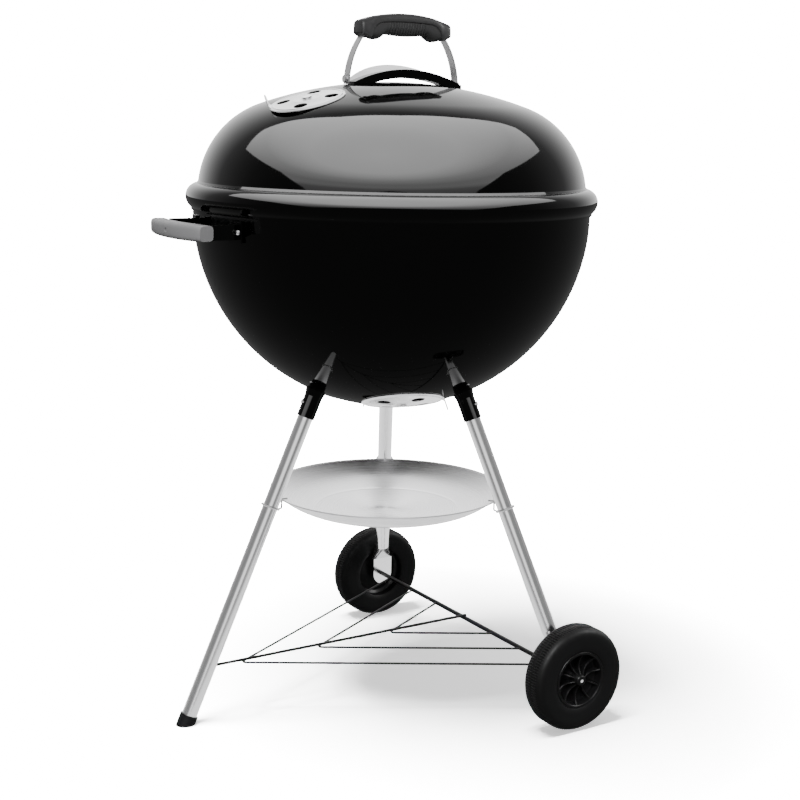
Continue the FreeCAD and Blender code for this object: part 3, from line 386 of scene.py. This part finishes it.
def bowl_outline():
    """Outer wall from the bottom up, the rolled rim, then the inner wall down."""
    blend = math.radians(BOWL_BLEND)
    side_r = (BOWL_DOME - BOWL_SIDE) * math.sin(blend)
    side_z = BOWL_FLOOR + BOWL_DOME - (BOWL_DOME - BOWL_SIDE) * math.cos(blend)
    centre_z = BOWL_FLOOR + BOWL_DOME
    outer = arc(0, centre_z, BOWL_DOME, -90, BOWL_BLEND - 90, 56)
    outer += arc(side_r, side_z, BOWL_SIDE, BOWL_BLEND - 90, -BOWL_DRAFT, 8)[1:]
    outer += [(285.0, 722.0), (285.3, 738.0)]
    roll = arc(RIM_R - RIM_ROLL, RIM_Z - 0.6, RIM_ROLL, 0, 250, 18)
    inner = arc(side_r, side_z, BOWL_SIDE - WALL, -BOWL_DRAFT, BOWL_BLEND - 90, 8)
    inner += arc(0, centre_z, BOWL_DOME - WALL, BOWL_BLEND - 90, -90, 56)[1:]
    return outer + roll + inner


def lid_outline():
    """Outer wall from the apex down over the bead, then the inner wall back up."""
    blend = math.radians(LID_BLEND)
    centre_z = LID_APEX - LID_DOME
    side_r = (LID_DOME - LID_SIDE) * math.sin(blend)
    side_z = centre_z + (LID_DOME - LID_SIDE) * math.cos(blend)
    outer = arc(0, centre_z, LID_DOME, 90, 90 - LID_BLEND, 30)
    outer += arc(side_r, side_z, LID_SIDE, 90 - LID_BLEND, LID_FOOT + 1.2, 40)[1:]
    outer += arc(BEAD_R, BEAD_Z, BEAD, 80, -50, 26)
    foot_r = BEAD_R + BEAD * math.cos(math.radians(54.2))
    outer += [(foot_r + 0.15, 724.2), (foot_r, 723.0), (foot_r - 0.2, SKIRT_FOOT + 0.1)]
    inner_foot = foot_r - WALL
    inner = [(inner_foot, SKIRT_FOOT + 0.1), (inner_foot, 723.0)]
    inner += arc(BEAD_R, BEAD_Z, BEAD - WALL, -52, 80, 20)
    inner += arc(side_r, side_z, LID_SIDE - WALL, LID_FOOT + 1.2, 90 - LID_BLEND, 40)
    inner += arc(0, centre_z, LID_DOME - WALL, 90 - LID_BLEND, 90, 30)[1:]
    return outer + inner


def frame_along(direction, centre):
    """A placement whose Z axis runs along a direction from a centre in mm."""
    turn = Vector((0, 0, 1)).rotation_difference(direction).to_matrix().to_4x4()
    return Matrix.Translation(Vector(centre) * MM) @ turn


def bearing(polar_degrees, azimuth, sign):
    slope, turn = math.radians(polar_degrees), math.radians(azimuth)
    return Vector((math.sin(slope) * math.cos(turn), math.sin(slope) * math.sin(turn),
                   sign * math.cos(slope)))


BOWL_CENTRE = (0, 0, BOWL_FLOOR + BOWL_DOME)
LID_CENTRE = (0, 0, LID_APEX - LID_DOME)
LID_VENT = bearing(17.9, 197.4, 1)
BOTTOM_VENTS = {"rear": 11, "left": 131, "right": 251}
BOTTOM_TABS = {"rear": 114, "left": 107, "right": -6}
VENT_HOLE, VENT_CIRCLE = 9.5, 34.0


def vent_cutters(direction, centre, radius, hole=VENT_HOLE, count=4):
    """Round cutters for the vent holes of one damper."""
    place = frame_along(direction, centre)
    cutters = []
    for i in range(count):
        angle = math.radians(45 + 90 * i)
        shift = Matrix.Translation(Vector((VENT_CIRCLE * math.cos(angle), VENT_CIRCLE * math.sin(angle),
                                           radius)) * MM)
        cutters.append(turned("cutter", [(0, -20), (hole, -20), (hole, 20), (0, 20)], 40, place @ shift))
    return cutters


def shells():
    bowl = turned("bowl", bowl_outline(), 192)
    cutters = []
    for azimuth in BOTTOM_VENTS.values():
        cutters += vent_cutters(bearing(20, azimuth, -1), BOWL_CENTRE, BOWL_DOME)
    drilled(bowl, cutters)
    finished(bowl, "stand", "enamel", ENAMEL, "bowl_shell")
    lid = turned("lid", lid_outline(), 192)
    drilled(lid, vent_cutters(LID_VENT, LID_CENTRE, LID_DOME))
    finished(lid, "lid", "enamel", ENAMEL, "lid_shell")


# ---------------------------------------------------------------- dampers

def damper(name, direction, centre, inner_radius, edge_radius, tab_turn, tab_rise):
    """A dished disc with a rolled edge, an embossed ring, vent holes and a bent tab."""
    wall = 1.4
    profile = [(0, 0.9), (7, 0.9), (9, 0.0), (15, 0.0), (17, 0.7), (19.5, 0.7), (21.5, 0), (edge_radius - 7, 0),
               (edge_radius - 5.6, 0.8), (edge_radius - 4.2, 0.8), (edge_radius - 2.8, 0),
               (edge_radius - 1.4, 0), (edge_radius - 0.3, -0.35), (edge_radius, -0.7)]

    def on_dome(reach, lift):
        angle = reach / inner_radius
        radius = inner_radius + lift
        return radius * math.sin(angle), radius * math.cos(angle)

    top = [on_dome(r, wall + 0.02 + h) for r, h in profile]
    bottom = [on_dome(r, 0.02 + max(h, 0) * 0.8) for r, h in reversed(profile)]
    place = frame_along(direction, centre)
    disc = turned(name, top + bottom, 128, place)
    drilled(disc, vent_cutters(direction, centre, inner_radius))
    swing = Matrix.Rotation(math.radians(tab_turn), 4, "Z")
    edge = on_dome(edge_radius - 5, 0.75)
    rise = math.radians(tab_rise)
    path = [Vector((edge[0] - 4, 0, edge[1])), Vector((edge[0] + 1.5, 0, edge[1]))]
    for i in range(1, 7):
        bend = rise * i / 6
        path.append(path[-1] + Vector((math.cos(bend), 0, math.sin(bend))) * 1.1)
    run = 13.0 / 8
    for i in range(8):
        path.append(path[-1] + Vector((math.cos(rise), 0, math.sin(rise))) * run)
    path = [place @ swing @ (point * MM) for point in path]
    lift = (place @ swing).to_3x3() @ Vector((0, 0, 1))

    def section(t):
        half = 9.0 * MM if t < 0.8 else 9.0 * MM * math.sqrt(max(1 - ((t - 0.8) / 0.2) ** 2, 0.12))
        return [(-half, -0.6 * MM), (half, -0.6 * MM), (half, 0.6 * MM), (-half, 0.6 * MM)]

    tab = swept(name + "_tab", path, section, up=lift)
    return joined(name, [disc, tab])


def dampers():
    for place, azimuth in BOTTOM_VENTS.items():
        direction = bearing(20, azimuth, -1)
        disc = damper(f"bottom_vent_{place}", direction, BOWL_CENTRE, BOWL_DOME + 0.3, 59, BOTTOM_TABS[place], 75)
        finished(disc, f"vent_{place}", "damper_aluminium", DAMPER, f"bottom_damper_{place}")
    disc = damper("lid_vent_disc", LID_VENT, LID_CENTRE, LID_DOME + 0.3, 52, 150, 80)
    finished(disc, "lid_vent", "damper_aluminium", DAMPER, "lid_damper")


# ---------------------------------------------------------------- wheels and pan

TYRE_WIDTH = 40.0


def wheel_frame(side):
    """A placement with Z outwards along the axle and the wheel's inner face at zero."""
    low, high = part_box(f"wheel_tyre_{'right' if side < 0 else 'left'}")
    middle = (low + high) / 2
    inner = high.y if side < 0 else low.y
    turn = Matrix.Rotation(math.radians(90 if side < 0 else -90), 4, "X")
    return Matrix.Translation((middle.x, inner, middle.z)) @ turn


def tyre(place_name, side):
    """Tread ring with cross ribs, a smooth centre line and rounded shoulders."""
    lip = [(46, 4.0), (41.7, 4.0), (41.7, 2.8), (43, 1.8), (50, 0.9), (58, 0.3), (64, 0.2), (68.5, 0.9), (72, 2.9),
           (74.3, 6.2), (75.0, 8.6)]
    tread = [(75.4, 9.4), (75.55, 9.8), (75.55, 18.4), (75.5, 18.8)]
    half = lip + tread + [(75.4, 18.9), (75.8, 19.2)]
    outline = half + [(r, TYRE_WIDTH - z) for r, z in reversed(half)]
    ribbed = {index for index, point in enumerate(outline)
              if point in tread or (point[0], round(TYRE_WIDTH - point[1], 6)) in tread}

    def ribs(index, i):
        if index not in ribbed:
            return 0.0
        return 0.4 if i % 4 in (0, 1) else -0.7

    obj = turned(f"tyre_{place_name}", outline, 480, wheel_frame(side), ribs)
    return finished(obj, f"wheel_{place_name}", "tyre_plastic", TYRE, f"wheel_tyre_{place_name}")


def rim(place_name, side):
    """Wheel centre: raised ring, sunk web, hub and thin radial ribs."""
    place = wheel_frame(side)
    band = [(45.9, 4.2), (45.9, 35.8), (41.5, 35.8), (41.4, 37.4), (40.9, 38.0), (38.0, 38.0), (37.3, 37.3),
            (36.9, 35.0), (36.2, 24.6), (34, 23.0), (16, 21.6), (13, 22.6), (9.6, 25), (8.6, 35.5), (7.8, 37.0),
            (6.2, 37.4), (5.6, 36.6), (5.4, 34), (3.56, 34), (3.56, 3.4), (11, 3.4), (11, 16), (15, 17), (36, 18.4),
            (40.5, 15), (41.5, 4.2)]
    parts = [turned("rim_band", band, 160, place)]
    lift = place.to_3x3() @ Vector((0, 0, 1))
    for index in range(10):
        angle = TURN * (index + 0.35) / 10
        ahead = Vector((math.cos(angle), math.sin(angle), 0))
        path = [place @ ((ahead * (8.8 + 28.2 * i / 12) + Vector((0, 0, 21.0))) * MM) for i in range(13)]

        def section(t):
            top = (15.0 - 5.5 * math.sin(math.pi * t)) * MM
            half = (0.9 + 0.3 * t) * MM
            return [(-half, 0), (half, 0), (half * 0.8, top - 0.4 * MM), (half * 0.4, top),
                    (-half * 0.4, top), (-half * 0.8, top - 0.4 * MM)]

        parts.append(swept("rib", path, section, up=lift))
    obj = joined(f"rim_{place_name}", parts)
    return finished(obj, f"wheel_{place_name}", "rim_plastic", RIM, f"wheel_rim_{place_name}")


def axle_cap(place_name, side):
    """Black push-on cap round the bright end of the axle."""
    place = wheel_frame(side)
    cap = turned(f"axle_cap_{place_name}_cover", [(0, 40.4), (2.6, 40.4), (2.8, 41.0), (5.0, 41.2), (6.6, 40.6),
                                                 (7.6, 39.4), (8.0, 38.4), (7.2, 38.35), (6.6, 39.2), (4.6, 39.95),
                                                 (0, 39.95)], 64, place)
    finished(cap, "stand", "rim_plastic", RIM, f"axle_cap_{place_name}")
    end = turned(f"axle_end_{place_name}", [(0, 41.0), (2.0, 41.0), (2.4, 40.8), (2.4, 40.45), (0, 40.45)], 40, place)
    finished(end, "stand", "button_steel", PLATED)


def ash_pan():
    """Spun pan with a flat floor, a curved side and a rolled rim."""
    low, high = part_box("ash_pan")
    rim_r, floor_z, rim_z = high.x / MM, low.z / MM, high.z / MM
    floor_r = 108.0
    under = [(0, floor_z), (floor_r - 4, floor_z), (floor_r, floor_z + 0.4)]
    side = []
    for i in range(1, 15):
        t = i / 15
        bulge = 4.2 * math.sin(math.pi * t)
        side.append((floor_r + (rim_r - 5 - floor_r) * t + bulge * 0.45,
                     floor_z + 0.4 + (rim_z - 4.4 - floor_z) * t - bulge))
    lip = [(rim_r - 4.5, rim_z - 3.8), (rim_r - 2.4, rim_z - 3.2), (rim_r - 0.8, rim_z - 2.4), (rim_r, rim_z - 1.2),
           (rim_r - 0.5, rim_z - 0.2), (rim_r - 1.6, rim_z), (rim_r - 3.2, rim_z - 0.7), (rim_r - 5.2, rim_z - 2.6)]
    inside = [(r - 0.55, z + 0.95) for r, z in reversed(side)]
    floor_in = [(floor_r - 0.2, floor_z + 1.9), (floor_r - 1.4, floor_z + 2.2), (floor_r - 2.6, floor_z + 1.9),
                (floor_r - 4.2, floor_z + 1.0), (0, floor_z + 1.0)]
    obj = turned("pan", under + side + lip + inside + floor_in, 192)
    obj.visible_glossy = False
    return finished(obj, "stand", "pan_aluminium", PAN, "ash_pan")


# ---------------------------------------------------------------- handles

def lid_grip():
    """The moulded grip: an arched upper shell and a ribbed lower insert."""
    low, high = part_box("grip_top")
    middle_x = (low.x + high.x) / 2
    half = (high.x - low.x) / 2
    crown, width = high.z, (high.y - low.y) / 2
    stations = 49

    def top_line(s):
        return crown - 12.0 * MM * abs(s) ** 2.1

    def parting(s):
        a = abs(s)
        if a < 0.52:
            return crown - 12.6 * MM - 1.6 * MM * (a / 0.52) ** 2
        t = min((a - 0.52) / 0.27, 1.0)
        return crown - 14.2 * MM - 19.5 * MM * (1 - math.sqrt(max(1 - t ** 1.8, 0.0)))

    def lower_end(s):
        a = abs(s)
        return crown - (35.6 - 6.4 * min(max((a - 0.8) / 0.2, 0), 1) ** 1.4) * MM

    verts, faces = [], []
    ring = 28
    for i in range(stations):
        s = -1 + 2 * i / (stations - 1)
        x = middle_x + half * s
        top = top_line(s)
        bottom = parting(s) if abs(s) < 0.79 else lower_end(s)
        end_pull = max((abs(s) - 0.93) / 0.07, 0.0)
        half_width = width * (1 - 0.16 * end_pull ** 2)
        shoulder = (0.30 + 0.25 * (1 - abs(s))) * (top - bottom)
        for k in range(ring):
            t = k / (ring - 1)
            angle = math.pi * (1 - t)
            y = half_width * math.copysign(abs(math.cos(angle)) ** 0.55, math.cos(angle))
            z = bottom + (top - bottom) * (abs(math.sin(angle)) ** 0.42)
            verts.append(Vector((x, y, z)))
    for i in range(stations - 1):
        for k in range(ring - 1):
            a = i * ring + k
            faces.append([a, a + 1, a + ring + 1, a + ring])
        faces.append([i * ring, (i + 1) * ring, (i + 1) * ring + ring - 1, i * ring + ring - 1])
    faces.append(list(range(ring)))
    faces.append(list(range((stations - 1) * ring, stations * ring)))
    shell = tidy_normals(new_mesh("lid_grip_shell", verts, faces), 50.0)
    finished(softened(shell, 1.6 * MM, 3, 45.0), "lid", "grip_nylon", GRIP_DARK, "grip_top")

    verts, faces = [], []
    stations = 181
    half_lower = half * 0.785
    for i in range(stations):
        s = -1 + 2 * i / (stations - 1)
        x = middle_x + half_lower * s
        full = s * 0.785
        top = parting(full) - 0.25 * MM
        a = abs(s)
        belly = crown - 31.6 * MM + 2.6 * MM * min(a / 0.58, 1) ** 2
        if a > 0.58:
            lobe = math.sin(math.pi * min((a - 0.58) / 0.52, 1.0))
            belly = belly - 8.4 * MM * lobe
        belly = min(belly, top - 1.0 * MM)
        rib = 0.0
        if a < 0.52:
            rib = 0.5 - 0.5 * math.cos(TURN * 14 * (s + 0.52) / 1.04)
        for k in range(ring):
            t = k / (ring - 1)
            angle = math.pi * (1 - t)
            pinch = 1.9 * MM * rib * min(1.0, 2.2 * abs(math.sin(angle)))
            y = (width - 1.0 * MM) * math.copysign(abs(math.cos(angle)) ** 0.6, math.cos(angle))
            y -= math.copysign(min(pinch, abs(y)), y)
            depth = abs(math.sin(angle)) ** 0.5
            verts.append(Vector((x, y, top - (top - belly) * depth + 0.5 * MM * rib * depth)))
    for i in range(stations - 1):
        for k in range(ring - 1):
            b = i * ring + k
            faces.append([b, b + 1, b + ring + 1, b + ring])
        faces.append([i * ring, (i + 1) * ring, (i + 1) * ring + ring - 1, i * ring + ring - 1])
    faces.append(list(range(ring)))
    faces.append(list(range((stations - 1) * ring, stations * ring)))
    insert = tidy_normals(new_mesh("lid_grip_insert", verts, faces), 50.0)
    finished(insert, "lid", "grip_nylon", GRIP_LOWER, "grip_insert")


def side_grip():
    """Bowed side handle with rounded edges and a sunk fixing hole."""
    low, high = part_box("side_handle_grip")
    half, height = high.y, (high.z - low.z) / 2
    middle_z = (low.z + high.z) / 2
    front = low.x
    path = []
    for i in range(41):
        s = -1 + 2 * i / 40
        path.append(Vector((front + 12.0 * MM + 12.0 * MM * s * s, half * s * 0.998, middle_z)))

    def section(t):
        s = abs(2 * t - 1)
        deep = 11.8 * MM * (1.0 if s < 0.97 else 0.95)
        tall = height * (0.99 - 0.07 * s ** 4) * (1.0 if s < 0.97 else 0.96)
        return oval(deep, tall, 4.2, 40)

    bar = swept("side_grip", path, section)
    hole = turned("hole_cutter", [(0, 0), (3.2, 0), (3.2, 14), (0, 14)], 32,
                  Matrix.Translation((front - 3 * MM, 0, middle_z)) @ Matrix.Rotation(math.radians(90), 4, "Y"))
    drilled(bar, [hole])
    tidy_normals(bar, 40.0)
    finished(bar, "stand", "grip_nylon", GRIP_SIDE, "side_handle_grip")


# ---------------------------------------------------------------- carried-over nodes

NODE_LOOKS = {
    "leg_socket_foot": ENAMEL, "leg_socket_left": ENAMEL, "leg_socket_right": ENAMEL,
    "handle_bracket": ENAMEL, "side_handle_brackets": ENAMEL, "lid_damper_rivet": RIVET,
    "leg_foot": LEG, "leg_left": LEG, "leg_right": LEG, "foot_cap": CAP, "leg_buttons": PLATED,
    "handle_bolts": PLATED, "side_handle_screws": PLATED, "axle": WIRE, "heat_shield": SHIELD,
    "bottom_damper_rivet_rear": RIVET, "bottom_damper_rivet_left": RIVET, "bottom_damper_rivet_right": RIVET,
    "rack_wire_outer": WIRE, "rack_wire_middle": WIRE, "rack_wire_inner": WIRE, "rack_spine": WIRE,
    "lid_hook": WIRE, "pan_clip_foot": PLATED, "pan_clip_left": PLATED, "pan_clip_right": PLATED,
    "handle_straps": STRAP, "cooking_grate": CHROME, "charcoal_grate": CHROME, "grate_tabs": ENAMEL,
}


def dress_nodes():
    for node, material in NODE_LOOKS.items():
        mesh = frame["nodes"][node].data
        mesh.materials.clear()
        mesh.materials.append(material)


# ---------------------------------------------------------------- stage

FACING = Vector((0.527, 0.850, 0.0))
CAMERA_WHITE = 18.0


class Glow:
    """Node helpers for the studio: emission that depends on the ray and on the place."""

    def __init__(self, tree):
        self.nodes, self.links = tree.nodes, tree.links

    def add(self, kind, **values):
        node = self.nodes.new(kind)
        for key, value in values.items():
            setattr(node, key, value)
        return node

    def steps(self, fac, stops):
        """A value that runs through (place, value) stops."""
        node = self.add("ShaderNodeValToRGB")
        ramp = node.color_ramp
        for index, (place, value) in enumerate(stops):
            stop = ramp.elements[index] if index < 2 else ramp.elements.new(place)
            stop.position = place
            stop.color = (value, value, value, 1)
        self.links.new(fac, node.inputs["Fac"])
        return node.outputs["Color"]

    def reach(self, span, middle=(0, 0, 0)):
        """Level distance from a point, by default the grill's axis, as a share of span in metres."""
        place = self.add("ShaderNodeNewGeometry")
        shift = self.add("ShaderNodeVectorMath", operation="SUBTRACT")
        shift.inputs[1].default_value = middle
        flat = self.add("ShaderNodeVectorMath", operation="MULTIPLY")
        flat.inputs[1].default_value = (1 / span, 1 / span, 0)
        length = self.add("ShaderNodeVectorMath", operation="LENGTH")
        self.links.new(place.outputs["Position"], shift.inputs[0])
        self.links.new(shift.outputs["Vector"], flat.inputs[0])
        self.links.new(flat.outputs["Vector"], length.inputs[0])
        return length.outputs["Value"]

    def emission(self, fac, stops, strength):
        node = self.add("ShaderNodeEmission")
        node.inputs["Strength"].default_value = strength
        self.links.new(self.steps(fac, stops), node.inputs["Color"])
        return node.outputs["Emission"]

    def veil(self, emission, output):
        """Light from a sheet that everything else sees straight through."""
        both = self.add("ShaderNodeAddShader")
        self.links.new(emission, both.inputs[0])
        self.links.new(self.add("ShaderNodeBsdfTransparent").outputs["BSDF"], both.inputs[1])
        self.links.new(both.outputs["Shader"], output)

    def by_ray(self, seen, other):
        """One shader for the camera's own rays and another for all the rest."""
        rays = self.add("ShaderNodeLightPath")
        mix = self.add("ShaderNodeMixShader")
        self.links.new(rays.outputs["Is Camera Ray"], mix.inputs["Fac"])
        self.links.new(other, mix.inputs[1])
        self.links.new(seen, mix.inputs[2])
        return mix.outputs["Shader"]


def stage_material():
    """White studio floor that takes shadows; its white is a painted glow seen by the camera, dimmed round the grill
    as painted shade, and to the enamel and all other rays it is a dim painted glow that looks dark away from the
    grill.
    """
    material = bpy.data.materials.new("studio_floor")
    material.use_nodes = True
    glow = Glow(material.node_tree)
    glow.nodes.remove(glow.nodes["Principled BSDF"])
    paper = glow.add("ShaderNodeBsdfDiffuse")
    paper.inputs["Color"].default_value = (0.85, 0.85, 0.85, 1)
    both = glow.add("ShaderNodeAddShader")
    glow.links.new(paper.outputs["BSDF"], both.inputs[0])
    # Painted glow for the camera: dim within about half a metre of the grill, as painted shade round it, and white
    # from about a metre out.
    glow.links.new(glow.emission(glow.reach(2.0), [(0.0, 0.035), (0.27, 0.045), (0.52, 1.0)], CAMERA_WHITE),
                   both.inputs[1])
    # Painted dim floor for every ray but the camera's: a painted dark reflection of the floor in the enamel, standing
    # in for its bounce light.
    painted_bounce = glow.emission(glow.reach(1.0), [(0.1, 0.12), (0.38, 0.14)], 1.0)
    glow.links.new(glow.by_ray(both.outputs["Shader"], painted_bounce),
                   glow.nodes["Material Output"].inputs["Surface"])
    return material


def floor():
    bpy.ops.mesh.primitive_plane_add(size=60.0, location=(0, 0, -0.0004))
    plane = bpy.context.object
    plane.name = "studio_floor"
    plane.data.materials.append(stage_material())
    return plane


def world():
    """White to the eye; to the surfaces bright behind the grill and dark in front of it."""
    studio = bpy.data.worlds.new("studio")
    studio.use_nodes = True
    glow = Glow(studio.node_tree)
    seen = glow.nodes["Background"]
    seen.inputs["Color"].default_value = (1, 1, 1, 1)
    seen.inputs["Strength"].default_value = CAMERA_WHITE
    place = glow.add("ShaderNodeTexCoord")
    ahead = glow.add("ShaderNodeVectorMath", operation="DOT_PRODUCT")
    ahead.inputs[1].default_value = FACING * 0.5
    shift = glow.add("ShaderNodeMath", operation="ADD")
    shift.inputs[1].default_value = 0.5
    glow.links.new(place.outputs["Generated"], ahead.inputs[0])
    glow.links.new(ahead.outputs["Value"], shift.inputs[0])
    lit = glow.add("ShaderNodeBackground")
    lit.inputs["Strength"].default_value = 1.8
    glow.links.new(glow.steps(shift.outputs["Value"], [(0.0, 0.08), (0.3, 0.08), (0.5, 0.12), (0.75, 0.25),
                                                       (0.93, 0.8), (1.0, 1.0)]), lit.inputs["Color"])
    glow.links.new(glow.by_ray(seen.outputs["Background"], lit.outputs["Background"]),
                   glow.nodes["World Output"].inputs["Surface"])
    scene.world = studio


CARD_HEIGHT = 2.2
CARD_OUTLINE = [(-1.62, 1.97), (-0.78, 1.45), (-0.45, 1.04), (-0.16, 0.54), (0.24, 0.29), (0.73, 0.19),
                (1.23, 0.22), (1.50, 0.19), (2.41, -0.36), (1.87, -2.36), (2.31, -11.02), (-1.27, -7.03),
                (-3.31, -5.20), (-6.46, -4.58), (-14.15, -4.12), (-3.33, 0.57)]


def light_sheet(obj, place, stops, strength):
    """Turn a mesh into a sheet of light that the camera can't see."""
    material = bpy.data.materials.new(obj.name + "_glow")
    material.use_nodes = True
    glow = Glow(material.node_tree)
    glow.nodes.remove(glow.nodes["Principled BSDF"])
    glow.veil(glow.emission(place(glow), stops, strength), glow.nodes["Material Output"].inputs["Surface"])
    obj.data.materials.clear()
    obj.data.materials.append(material)
    obj.visible_camera = False
    obj.visible_shadow = False
    return obj


def window_card():
    """The window overhead, which only the enamel mirrors."""
    card = new_mesh("window_card", [(x, y, CARD_HEIGHT) for x, y in CARD_OUTLINE], [list(range(len(CARD_OUTLINE)))])
    card.visible_diffuse = False
    return light_sheet(card, lambda glow: glow.reach(10.0, (-0.8, -1.0, 0)),
                       [(0.0, 1.0), (0.12, 0.87), (0.22, 0.42), (0.3, 0.27), (0.38, 0.27), (0.47, 0.15), (0.7, 0.1),
                        (1.0, 0.07)], 15.0)


def along(glow, direction, span):
    """How far a place lies along a direction, as a share of span either way, from 0 to 1."""
    place = glow.add("ShaderNodeNewGeometry")
    ahead = glow.add("ShaderNodeVectorMath", operation="DOT_PRODUCT")
    ahead.inputs[1].default_value = direction * (0.5 / span)
    shift = glow.add("ShaderNodeMath", operation="ADD")
    shift.inputs[1].default_value = 0.5
    glow.links.new(place.outputs["Position"], ahead.inputs[0])
    glow.links.new(ahead.outputs["Value"], shift.inputs[0])
    return shift.outputs["Value"]


def studio_tent():
    """A pale strip overhead from front to back between dim walls, which only the bare metal mirrors."""
    bpy.ops.mesh.primitive_uv_sphere_add(segments=48, ring_count=24, radius=TENT_RADIUS)
    tent = bpy.context.object
    tent.name = "studio_tent"
    return light_sheet(tent, lambda glow: along(glow, LATERAL, TENT_RADIUS),
                       [(0.0, 0.1), (0.26, 0.12), (0.38, 0.85), (0.5, 1.0), (0.62, 0.85), (0.74, 0.12), (1.0, 0.1)],
                       1.7)


def floor_sheen():
    """The floor as the bare metal mirrors it: dim on the camera's side, pale beside and behind."""
    bpy.ops.mesh.primitive_plane_add(size=8.0, location=(0, 0, -0.0002))
    sheen = bpy.context.object
    sheen.name = "floor_sheen"
    return light_sheet(sheen, lambda glow: along(glow, FACING, SHEEN_REACH),
                       [(0.0, 0.12), (0.38, 0.16), (0.46, 0.75), (0.56, 1.0), (1.0, 1.0)], 1.9)


LATERAL = Vector((0.850, -0.527, 0.0))
SHEEN_REACH = 4.0
TENT_RADIUS = 9.0


def only_for(light, receivers):
    """Let a light reach only the listed pieces."""
    group = bpy.data.collections.new(light.name + "_receivers")
    for piece in receivers:
        group.objects.link(piece)
    light.light_linking.receiver_collection = group


def area_light(name, spot, aim, width, height, power):
    data = bpy.data.lights.new(name, "AREA")
    data.shape = "RECTANGLE"
    data.size, data.size_y = width, height
    data.energy = power
    light = bpy.data.objects.new(name, data)
    scene.collection.objects.link(light)
    light.location = spot
    light.rotation_euler = (Vector(aim) - Vector(spot)).to_track_quat("-Z", "Y").to_euler()
    return light


def lights(floor_plane):
    """Lights for the floor, the enamel, the bare metal and the plastic, each kept to its own pieces."""
    near = area_light("floor_bank", (-0.45, 0.05, 2.3), (0.1, 0.0, 0), 1.1, 1.1, 1500)
    wide = area_light("floor_wash", (0, 0, 3.4), (0, 0, 0), 5.0, 5.0, 120)
    for light in (near, wide):
        only_for(light, [floor_plane])
    pieces = [piece for piece in scene.objects if piece.type == "MESH" and piece.data.materials
              and piece != floor_plane]
    metals = (PAN, DAMPER, RIVET, LEG, PLATED, SHIELD, STRAP, CHROME)
    enamelled = [piece for piece in pieces if piece.data.materials[0] == ENAMEL]
    bare = [piece for piece in pieces if piece.data.materials[0] in metals]
    plastic = [piece for piece in pieces if piece not in enamelled and piece not in bare]
    only_for(window_card(), enamelled)
    for light in (studio_tent(), floor_sheen()):
        only_for(light, bare)
    for light in (area_light("key_bank", (-1.6, -1.8, 2.4), (0, 0, 0.5), 1.4, 1.4, 90),
                  area_light("fill_bank", (2.0, -1.0, 1.6), (0, 0, 0.4), 1.0, 1.0, 25)):
        only_for(light, plastic)


def camera():
    """The eye at chest height in front of the foot-leg side, looking slightly down."""
    data = bpy.data.cameras.new("camera")
    data.sensor_width = 36.0
    data.lens = 64.06
    eye = bpy.data.objects.new("camera", data)
    scene.collection.objects.link(eye)
    forward = Vector((0.51714, 0.83327, -0.19552)).normalized()
    level = forward.cross(Vector((0, 0, 1))).normalized()
    lift = level.cross(forward)
    roll = math.radians(1.077)
    right = math.cos(roll) * level + math.sin(roll) * lift
    top = -math.sin(roll) * level + math.cos(roll) * lift
    turn = Matrix((right, top, -forward)).transposed().to_4x4()
    eye.matrix_world = Matrix.Translation((-1.0784, -1.7703, 0.8551)) @ turn
    scene.camera = eye


# ---------------------------------------------------------------- making

camera()
world()
shells()
dampers()
for wheel_name, wheel_side in (("right", -1), ("left", 1)):
    tyre(wheel_name, wheel_side)
    rim(wheel_name, wheel_side)
    axle_cap(wheel_name, wheel_side)
ash_pan()
lid_grip()
side_grip()
dress_nodes()
lights(floor())

bpy.context.view_layer.update()
